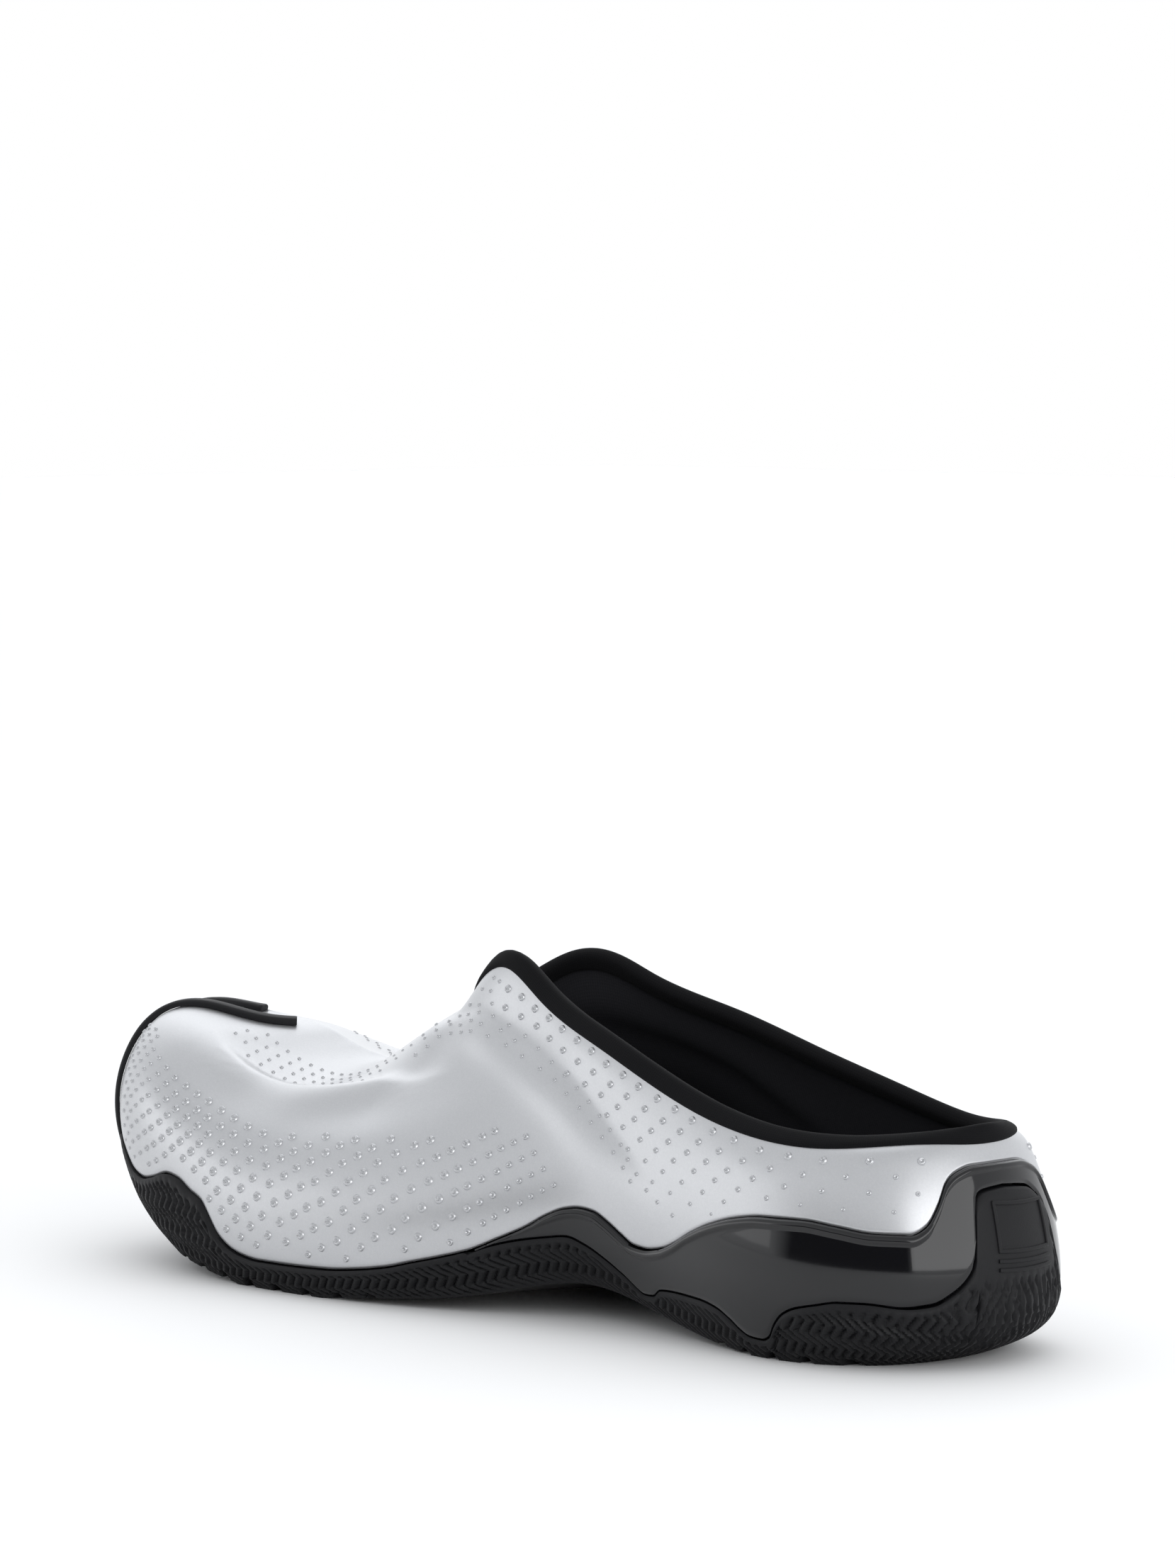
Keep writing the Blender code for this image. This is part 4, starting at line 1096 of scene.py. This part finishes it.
def footbed():
    r = paired_places(161)
    u = station_of(r)
    bed = reach(BED_Z, r)
    deep = np.interp(u, CUP_STATIONS, CUP_DEPTHS + BOARD_ROOM)
    wall = skin_at(r, np.maximum(bed, reach(SHELL_Z, r) + 1), SHELF)
    outline = reach(EDGE_POINTS, r)[:, 2, :2]
    deep = np.maximum(deep, np.linalg.norm(wall[:, :2] - outline, axis=1) + 1.6)
    low = bed + 2.5 * GAP
    high = low + INSOLE_THICK
    ways = reach(WAY, r)
    spine = reach(SPINE, r)

    def inside(depth, z):
        return np.column_stack([outline + ways * np.reshape(depth, (-1, 1)), z])

    top_edge = inside(deep + 1.8, high)
    rows = [np.column_stack([spine, low]), inside(deep + 0.6, low), inside(deep + 0.5, (low + high) / 2),
            inside(deep + 0.8, high - 0.8), inside(deep + 1.15, high - 0.3), top_edge]
    cup = BOARD_CUP * (1 - smooth(2.0, 4.5, u))
    for t in np.linspace(0, 1, 16)[1:]:
        p = top_edge * (1 - t) + np.column_stack([spine, high]) * t
        p[:, 2] -= cup * smooth(0, 0.6, t)
        rows.append(p)
    points = np.stack(rows, 1)
    points[-1] = points[0]
    return laid_grid("footbed", points)


dress(footbed(), FOOTBED_CLOTH, "footbed_cloth", "insole")


# Collar binding: a rolled band over the rim, with a small beak at the back

# Its section as (millimetres down from the rim, millimetres out of the skin), from outside to inside
BINDING_PROFILE = ((4.1, -0.5), (4.0, 0.3), (3.65, 0.72), (3.0, 0.92), (2.2, 1.0), (1.4, 1.0), (0.6, 0.95),
                   (-0.2, 0.75), (-0.75, 0.35), (-1.1, -0.3), (-1.2, -1.2), (-1.1, -2.2), (-0.75, -2.95),
                   (-0.2, -3.35), (0.6, -3.55), (1.6, -3.6), (2.8, -3.6), (3.6, -3.5), (4.1, -3.2),
                   (4.3, -2.75), (4.3, -1.8))
BEAK = 0.7
BEAK_WAY = np.array([-1.0, 0, 0.25])


def unit(vectors):
    return vectors / np.linalg.norm(vectors, axis=-1, keepdims=True)


def on_the_shell(guess, out, lift):
    """The point at a height over the shell's mesh, nearest to a guess."""
    _, spot, normal, _ = shell.closest_point_on_mesh(Vector((guess + PLACE) / 1000))
    normal = np.array(normal) * np.sign(np.dot(normal, out))
    return np.array(spot) * 1000 - PLACE + unit(normal + 0.6 * out) * lift


def collar_binding():
    u = paired_places(221, THROAT)[:-1]
    r = np.mod(u, ALL_ROUND)
    rim = skin_point(r, np.ones((len(r), 1)))[:, 0]
    out = skin_normal(r, np.ones((len(r), 1)))[:, 0]
    for _ in range(3):
        out = (np.roll(out, 1, 0) + 2 * out + np.roll(out, -1, 0)) / 4
    out = unit(out)
    along = unit(np.roll(rim, -1, 0) - np.roll(rim, 1, 0))
    down = unit(np.cross(along, out))
    down[down[:, 2] > 0] *= -1
    beak = 1 - smooth(0.0, 0.55, np.abs(u))[:, None]
    rows = []
    for mm, lift in BINDING_PROFILE:
        free = rim + out * lift + down * mm
        if mm <= 0:
            row = free
        elif lift < -1:
            v = (1 - mm / reach(SPANS, r))[:, None]
            row = (skin_point(r, v) + skin_normal(r, v) * lift)[:, 0]
        else:
            row = np.array([on_the_shell(guess, way, lift) for guess, way in zip(free, out)])
        if lift > -1.5 and mm < 3:
            row = row + BEAK_WAY * beak * BEAK * (1 - smooth(-1.5, 2.0, mm))
        rows.append(row)
    points = np.array(rows).transpose(1, 0, 2)
    points = np.concatenate([points, points[:, :1]], axis=1)
    points = np.concatenate([points, points[:1]], axis=0)
    return laid_grid("collar_binding", points)


dress(collar_binding(), BINDING_CLOTH, "binding_cloth", "collar_binding")


# Bars laid on the skin: the toe's ribs and the heel pad's frame

# Millimetres to a station and to a whole section near the toe, about
TOE_STATION_MM = 16
TOE_SECTION_MM = 90


def bar_on_skin(name, path, width, height, samples, base=0.2, thin=1.0, lift=0.0):
    """A bevelled bar with square ends along points (place, share), its start thinner by a share."""
    path = np.array(path)
    steps = np.hypot(np.diff(path[:, 0]) * TOE_STATION_MM, np.diff(path[:, 1]) * TOE_SECTION_MM)
    knots = np.concatenate([[0], np.cumsum(steps)])
    t = np.linspace(0, knots[-1], samples)
    if len(path) > 2:
        trail = spline(knots, path, t)
    else:
        trail = np.stack([np.interp(t, knots, path[:, c]) for c in (0, 1)], 1)
    here = skin_point(trail[:, 0], trail[:, 1:])[:, 0]
    normal = skin_normal(trail[:, 0], trail[:, 1:])[:, 0]
    here = here + normal * lift
    ahead = unit(np.gradient(here, axis=0))
    side = unit(np.cross(ahead, normal))
    w = width / 2
    bevel = min(0.9, width * 0.22)
    tall = height * np.interp(t / t[-1], (0, 0.45, 1), (thin, 1, 1))
    grid = []
    for p, a, m, h in zip(here, side, normal, tall):
        shape = ((-w, base), (-w, h - bevel * 0.8), (-w + bevel * 0.15, h - bevel * 0.55),
                 (-w + bevel * 0.8, h - bevel * 0.1), (-w + bevel * 1.1, h), (w - bevel * 1.1, h),
                 (w - bevel * 0.8, h - bevel * 0.1), (w - bevel * 0.15, h - bevel * 0.55),
                 (w, h - bevel * 0.8), (w, base), (0, base - 0.1), (-w, base))
        grid.append([p + a * s + m * z for s, z in shape])
    grid = np.array(grid)
    ends = []
    for k, sign in ((0, -1), (-1, 1)):
        middle = grid[k].mean(0)
        face = middle + (grid[k] - middle) * 0.9 + ahead[k] * sign * 0.3
        ends.append(face)
    grid = np.concatenate([ends[0][None], grid, ends[1][None]])
    piece = laid_grid(name, grid)
    close_ends(piece)
    crisp(piece, 35)
    return piece


# The ribs are a little narrower and lower than the part's, whose edges have no bevel.
RIB_EASED = (0.9, 0.1)
for name, path in RIBS.items():
    rib = bar_on_skin(name, path, RIB_WIDTH - RIB_EASED[0], RIB_HEIGHT - RIB_EASED[1], 70, thin=0.6)
    dress(rib, RUBBER, "black_rubber", name)

# Heel pad: its frame's corners and its two grip bars' levels, on the skin
PAD_CORNERS = ((0.20, 0.688), (-0.42, 0.672), (-0.42, 0.520), (0.19, 0.531))
PAD_LEVELS = (0.500, 0.472)
PAD_BAR_WIDTH = 1.0
PAD_BAR_HEIGHT = 0.5
PAD_LIFT = PROUD_RUBBER - 0.05


def heel_pad_frame():
    paths = list(zip(PAD_CORNERS, PAD_CORNERS[1:] + PAD_CORNERS[:1]))
    paths += [((PAD_CORNERS[0][0], level), (PAD_CORNERS[1][0], level - 0.01)) for level in PAD_LEVELS]
    bars = [bar_on_skin("pad_bar", path, PAD_BAR_WIDTH, PAD_BAR_HEIGHT, 12, base=-0.2, lift=PAD_LIFT)
            for path in paths]
    return joined("heel_pad_frame", bars)


dress(heel_pad_frame(), RUBBER, "black_rubber")


# Raised rings of the shell

# Places (station, share) of the side field's rows from the toe back, and the steps down its columns
ROW_PLACES = (-8, -6, -4, -3, -2, -1, 0, 2, 3, 5, 6, 7, 8, 9, 10, 11, 12, 13, 14, 15, 16, 17, 20, 23)
ROW_STATIONS = (12.15, 11.82, 11.42, 11.22, 11.0, 10.8, 10.6, 10.22, 10.03, 9.55, 9.28, 9.0, 8.68, 8.38, 8.05,
                7.73, 7.43, 7.10, 6.80, 6.46, 6.12, 5.80, 4.97, 4.2)
ROW_SHARES = (0.618, 0.594, 0.563, 0.545, 0.531, 0.519, 0.506, 0.494, 0.488, 0.469, 0.456, 0.444, 0.419,
              0.394, 0.367, 0.350, 0.331, 0.306, 0.288, 0.275, 0.263, 0.250, 0.187, 0.130)
COLUMN_PLACES = (-8, 0, 3, 6, 11, 13, 15, 17, 20, 23)
COLUMN_STATIONS = (-0.165, -0.175, -0.19, -0.19, -0.18, -0.18, -0.175, -0.17, -0.155, -0.15)
COLUMN_SHARES = (-0.036, -0.0385, -0.0445, -0.047, -0.047, -0.048, -0.043, -0.040, -0.044, -0.044)
# The field's upper edge
FIELD_TOP = ((4.6, 0.56), (5.08, 0.594), (5.38, 0.594), (5.93, 0.525), (6.65, 0.455), (7.65, 0.462),
             (8.58, 0.456), (9.28, 0.462), (10.03, 0.494), (10.60, 0.512), (11.50, 0.594), (12.3, 0.65))

# Rows of rings below the collar, from the top one down, then those along the crease and at the ear
BAND_1 = ((6.55, .913), (6.30, .919), (6.05, .919), (5.80, .925), (5.55, .919), (5.28, .913), (5.03, .906),
          (4.78, .894), (4.53, .894), (4.30, .888), (4.03, .888), (3.78, .888), (3.53, .881), (3.23, .875),
          (2.93, .875), (2.58, .863), (2.23, .863), (1.83, .856), (1.35, .850), (0.83, .844))
BAND_2 = ((6.48, .863), (6.20, .869), (5.93, .875), (5.68, .863), (5.43, .850), (5.18, .838), (4.93, .832),
          (4.66, .826), (4.42, .820), (4.16, .816), (3.90, .812), (3.65, .808), (3.38, .803), (3.08, .800),
          (2.75, .792), (2.40, .788), (2.02, .782), (1.58, .780), (1.10, .776))
BAND_3 = ((5.30, .775), (5.03, .768), (4.78, .762), (4.53, .756), (4.28, .750), (4.03, .746), (3.78, .742),
          (3.50, .738), (3.22, .735), (2.92, .731), (2.58, .728), (2.20, .720), (1.80, .716), (1.35, .713),
          (0.90, .712))
BAND_4 = ((4.66, .700), (4.42, .692), (4.16, .686), (3.92, .682), (3.66, .680), (3.36, .678), (3.06, .675),
          (2.74, .668), (2.38, .660), (2.00, .652), (1.58, .646), (1.12, .644))
BAND_5 = ((4.30, .624), (4.04, .620), (3.78, .618), (3.50, .616), (3.20, .613), (2.90, .606), (2.55, .600),
          (2.18, .592), (1.78, .585), (1.36, .580))
BAND_6 = ((3.90, .560), (3.64, .556), (3.35, .552), (3.05, .546))
CREASE_DOTS = ((6.73, .856), (6.62, .825), (6.33, .825), (6.05, .825), (5.80, .812), (5.55, .790),
               (5.32, .765), (5.12, .740), (4.93, .712), (4.75, .682), (4.58, .654), (4.40, .625),
               (4.27, .588), (4.12, .556), (6.53, .769), (6.40, .800), (6.15, .795), (6.23, .769),
               (5.95, .763), (5.65, .750), (5.41, .734), (5.21, .705), (5.01, .676), (4.82, .645),
               (4.64, .615), (4.46, .585), (4.30, .552), (4.18, .520), (3.96, .520), (3.80, .500),
               (3.58, .481))
EAR_DOTS = ((6.90, .925), (6.75, .919), (7.08, .900), (6.85, .888), (7.00, .850), (7.28, .875),
            (7.40, .850), (7.15, .831), (6.90, .825), (6.95, .800), (7.18, .800), (7.48, .825),
            (6.73, .794), (6.85, .769), (7.05, .769), (7.33, .788), (7.58, .788), (7.73, .756),
            (7.88, .725), (7.60, .840), (7.75, .805), (7.92, .775), (7.95, .825), (8.10, .795))


def side_field():
    """Places and sizes of the rings on the shell's side."""
    spots = []
    for a in range(-8, 24):
        u0, v0 = (np.interp(a, ROW_PLACES, row) for row in (ROW_STATIONS, ROW_SHARES))
        du, dv = (np.interp(a, COLUMN_PLACES, row) for row in (COLUMN_STATIONS, COLUMN_SHARES))
        for b in range(-9, 10):
            u = u0 + b * du + (0.0078 * b * b if b > 0 else 0)
            v = v0 + b * dv
            outside = u < 4.95 or u > 12.1 or v > np.interp(u, *zip(*FIELD_TOP))
            bare_corner = (b < -3 and a < 12) or (a < 0 and b < -1)
            if outside or bare_corner:
                continue
            toe = smooth(9.9, 11.2, u)
            heel = 1 - smooth(5.0, 6.6, u)
            spots.append((u, v, 1.38 * (1 - 0.50 * toe) * (1 - 0.42 * heel)))
    return spots


def scoop_field():
    """Small rings in the scoop, in slanting rows that thin out to its edge."""
    spots = []
    crest_u, crest_v = zip(*CREST[::-1])
    for a in range(17):
        for b in range(5):
            u = 11.20 - 0.185 * a + 0.092 * b
            v = 0.83 - 0.038 * b - 0.0035 * a
            if v > np.interp(u, crest_u, crest_v) + 0.04 and 8.15 < u < 11.15:
                spots.append((u, v, 0.62 - 0.012 * abs(a - 6)))
    return spots


def band_fields():
    """The rows below the collar, smaller from row to row and to the heel, and the dots by the crease."""
    spots = [(u, v, 1.15) for u, v in BAND_1]
    for row, size in ((BAND_2, 1.0), (BAND_3, 0.9), (BAND_4, 0.8), (BAND_5, 0.7), (BAND_6, 0.6)):
        spots += [(u, v, size * (1 - 0.25 * smooth(3.0, 0.8, u))) for u, v in row]
    return spots + [(u, v, 0.62) for u, v in CREASE_DOTS + EAR_DOTS]


# A ring's section as (share of its radius, height), from its foot over its lip to its middle
RING_PROFILE = ((1.0, -0.08), (0.87, 0.22), (0.68, 0.52), (0.50, 0.48), (0.28, 0.10), (0.0, 0.02))
RING_CORNERS = 10
# Rings keep this far above the shell's lower edge and, behind the throat, below the binding.
RING_MARGIN = 3.2
RING_TOP = 0.955
RING_TOP_AHEAD = 0.985


def one_ring(name):
    """A ring of radius 1 mm, lying at the part's own zero."""
    turns = np.linspace(0, 2 * math.pi, RING_CORNERS + 1)
    share, height = np.array(RING_PROFILE).T
    rows = [np.column_stack([share * math.cos(t), share * math.sin(t), height]) for t in turns]
    return laid_grid(name, np.array(rows))


def ring_places(side):
    """Places, shares and radii of all rings of one side."""
    u, v, size = np.array(side_field() + scoop_field() + band_fields(), float).T
    r = ring_place(u, side)
    gap = (v - share_at(r, reach(SHELL_Z, r))) * WALL_MM
    clear = (gap >= RING_MARGIN) & (v <= np.where(u < THROAT, RING_TOP, RING_TOP_AHEAD))
    size = size * (0.75 + 0.25 * smooth(3.0, 9.0, gap))
    return r[clear], v[clear, None], size[clear, None, None]


def shell_rings(name, side):
    """All rings of one side as one mesh: one modelled ring, copied onto the skin."""
    r, v, size = ring_places(side)
    here = skin_point(r, v)
    out = skin_normal(r, v)
    first = unit(np.cross(out, [0.0, 0.0, 1.0]))
    second = np.cross(out, first)
    piece = one_ring(name)
    flat = np.empty(len(piece.data.vertices) * 3)
    piece.data.vertices.foreach_get("co", flat)
    x, y, z = (flat.reshape(1, -1, 3) * 1000 - PLACE).transpose(2, 0, 1)[..., None]
    alone(piece)
    bpy.ops.object.modifier_add(type="ARRAY")
    piece.modifiers[0].count = len(r)
    bpy.ops.object.modifier_apply(modifier=piece.modifiers[0].name)
    points = here + (first * x + second * y) * size + out * z * np.minimum(size, 1.0)
    piece.data.vertices.foreach_set("co", ((points + PLACE) / 1000).ravel())
    piece.data.update()
    return piece


for name, side in (("shell_rings_medial", 1), ("shell_rings_lateral", -1)):
    dress(shell_rings(name, side), RING_SILVER_PAINTED_SHADE, "silver_shell")


# Floor, light and camera


def floor():
    bpy.ops.object.select_all(action="DESELECT")
    bpy.ops.mesh.primitive_plane_add(size=14, location=(0, 0, 0))
    plane = bpy.context.active_object
    plane.name = "floor"
    paint = Finish("floor_paint", (0.96, 0.96, 0.96), 0.7, Specular_IOR_Level=0.1)
    soft = paint.grain(paint.place(), 3, 2.0)
    paint.feed("Roughness", 0.66 + soft * 0.08)
    plane.data.materials.append(paint.material)


floor()


def softbox(name, place, aim, width, height, watts):
    lamp = bpy.data.lights.new(name, "AREA")
    lamp.shape = "RECTANGLE"
    lamp.size = width
    lamp.size_y = height
    lamp.energy = watts
    obj = bpy.data.objects.new(name, lamp)
    obj.location = place
    obj.rotation_euler = (Vector(aim) - Vector(place)).to_track_quat("-Z", "Y").to_euler()
    bpy.context.scene.collection.objects.link(obj)


AZIMUTH = math.radians(225.3)
ELEVATION = math.radians(8.0)
CAMERA_AWAY = 1.5
TARGET = Vector((150 + PLACE[0], PLACE[1], 40)) / 1000


def toward(azimuth, elevation):
    """The direction from the shoe at an azimuth and elevation."""
    level = math.cos(elevation)
    return Vector((math.sin(azimuth) * level, -math.cos(azimuth) * level, math.sin(elevation)))


def around(turn, up, distance):
    """A place round the shoe, turned from the camera's own direction."""
    return TARGET + toward(AZIMUTH + math.radians(turn), math.radians(up)) * distance


LAMPS_AWAY = 1.6
softbox("left_window", around(-97, 9, LAMPS_AWAY), TARGET, 1.15, 0.46, 1.2)
softbox("right_window", around(34, 15, LAMPS_AWAY), TARGET, 1.7, 0.84, 8.6)


# The room's brightness from its foot to its top, and the turn of its dark corner from the camera's direction
ROOM_LEVELS = ((0.0, 0.52), (0.30, 0.46), (0.55, 0.40), (0.95, 0.33))
ROOM_STRENGTH = 2.2
CORNER_TURN = math.radians(-36)


def studio():
    """A white room lit from above and behind, with a dark corner low on the shoe's inner side."""
    world = bpy.data.worlds.new("studio")
    bpy.context.scene.world = world
    world.use_nodes = True
    nodes = Nodes(world.node_tree)
    ray = nodes.node("ShaderNodeTexCoord", {}, out="Generated")

    def along(way):
        return nodes.node("ShaderNodeVectorMath", {"operation": "DOT_PRODUCT"}, ray, way, out="Value")

    height = along((0, 0, 1))
    corner = along(toward(AZIMUTH + CORNER_TURN, 0))
    behind = along((-math.sin(AZIMUTH) * 0.70, math.cos(AZIMUTH) * 0.70, 0.71))
    stops = [(at, (level,) * 3) for at, level in ROOM_LEVELS]
    level = nodes.node("ShaderNodeValToRGB", {"stops": stops}, height)
    level = level + ((behind - 0.70) * 3.5).within() * 0.50
    low = 1 - ((height - 0.16) * 8).within()
    dark = ((corner - 0.72) * 12).within() * low
    strength = level * ROOM_STRENGTH * (1 - dark * 0.94)
    light = nodes.tree.nodes["Background"]
    light.inputs["Color"].default_value = (0.965, 0.98, 1.0, 1)
    nodes.tree.links.new(strength.socket, light.inputs["Strength"])
    seen = nodes.tree.nodes.new("ShaderNodeBackground")
    seen.inputs["Color"].default_value = (1, 1, 1, 1)
    path = nodes.tree.nodes.new("ShaderNodeLightPath")
    mix = nodes.tree.nodes.new("ShaderNodeMixShader")
    nodes.tree.links.new(path.outputs["Is Camera Ray"], mix.inputs[0])
    nodes.tree.links.new(light.outputs[0], mix.inputs[1])
    nodes.tree.links.new(seen.outputs[0], mix.inputs[2])
    nodes.tree.links.new(mix.outputs[0], nodes.tree.nodes["World Output"].inputs["Surface"])


studio()

bpy.context.scene.view_settings.view_transform = "Standard"


# The picture's width and height, where in it the target lies, and the focal length, in its pixels
PICTURE = (1658, 2212)
TARGET_AT = (814, 1611)
FOCAL = 8100
SENSOR = 36


def turned(way):
    """The right and up directions of a view along a way."""
    right = way.cross(Vector((0, 0, 1))).normalized()
    return right, right.cross(way)


def camera():
    """The camera looks past the target, so that the target lies low in the picture."""
    data = bpy.data.cameras.new("camera")
    data.sensor_fit = "VERTICAL"
    data.sensor_height = SENSOR
    data.lens = FOCAL * SENSOR / PICTURE[1]
    data.clip_end = 50
    back = toward(AZIMUTH, ELEVATION)
    right, up = turned(-back)
    aside = (TARGET_AT[0] - PICTURE[0] / 2) / FOCAL
    below = (TARGET_AT[1] - PICTURE[1] / 2) / FOCAL
    aim = (-back - right * aside + up * below).normalized()
    right, up = turned(aim)
    turn = Matrix((right, up, -aim)).transposed().to_4x4()
    obj = bpy.data.objects.new("camera", data)
    obj.matrix_world = Matrix.Translation(TARGET + back * CAMERA_AWAY) @ turn
    bpy.context.scene.collection.objects.link(obj)
    bpy.context.scene.camera = obj


camera()
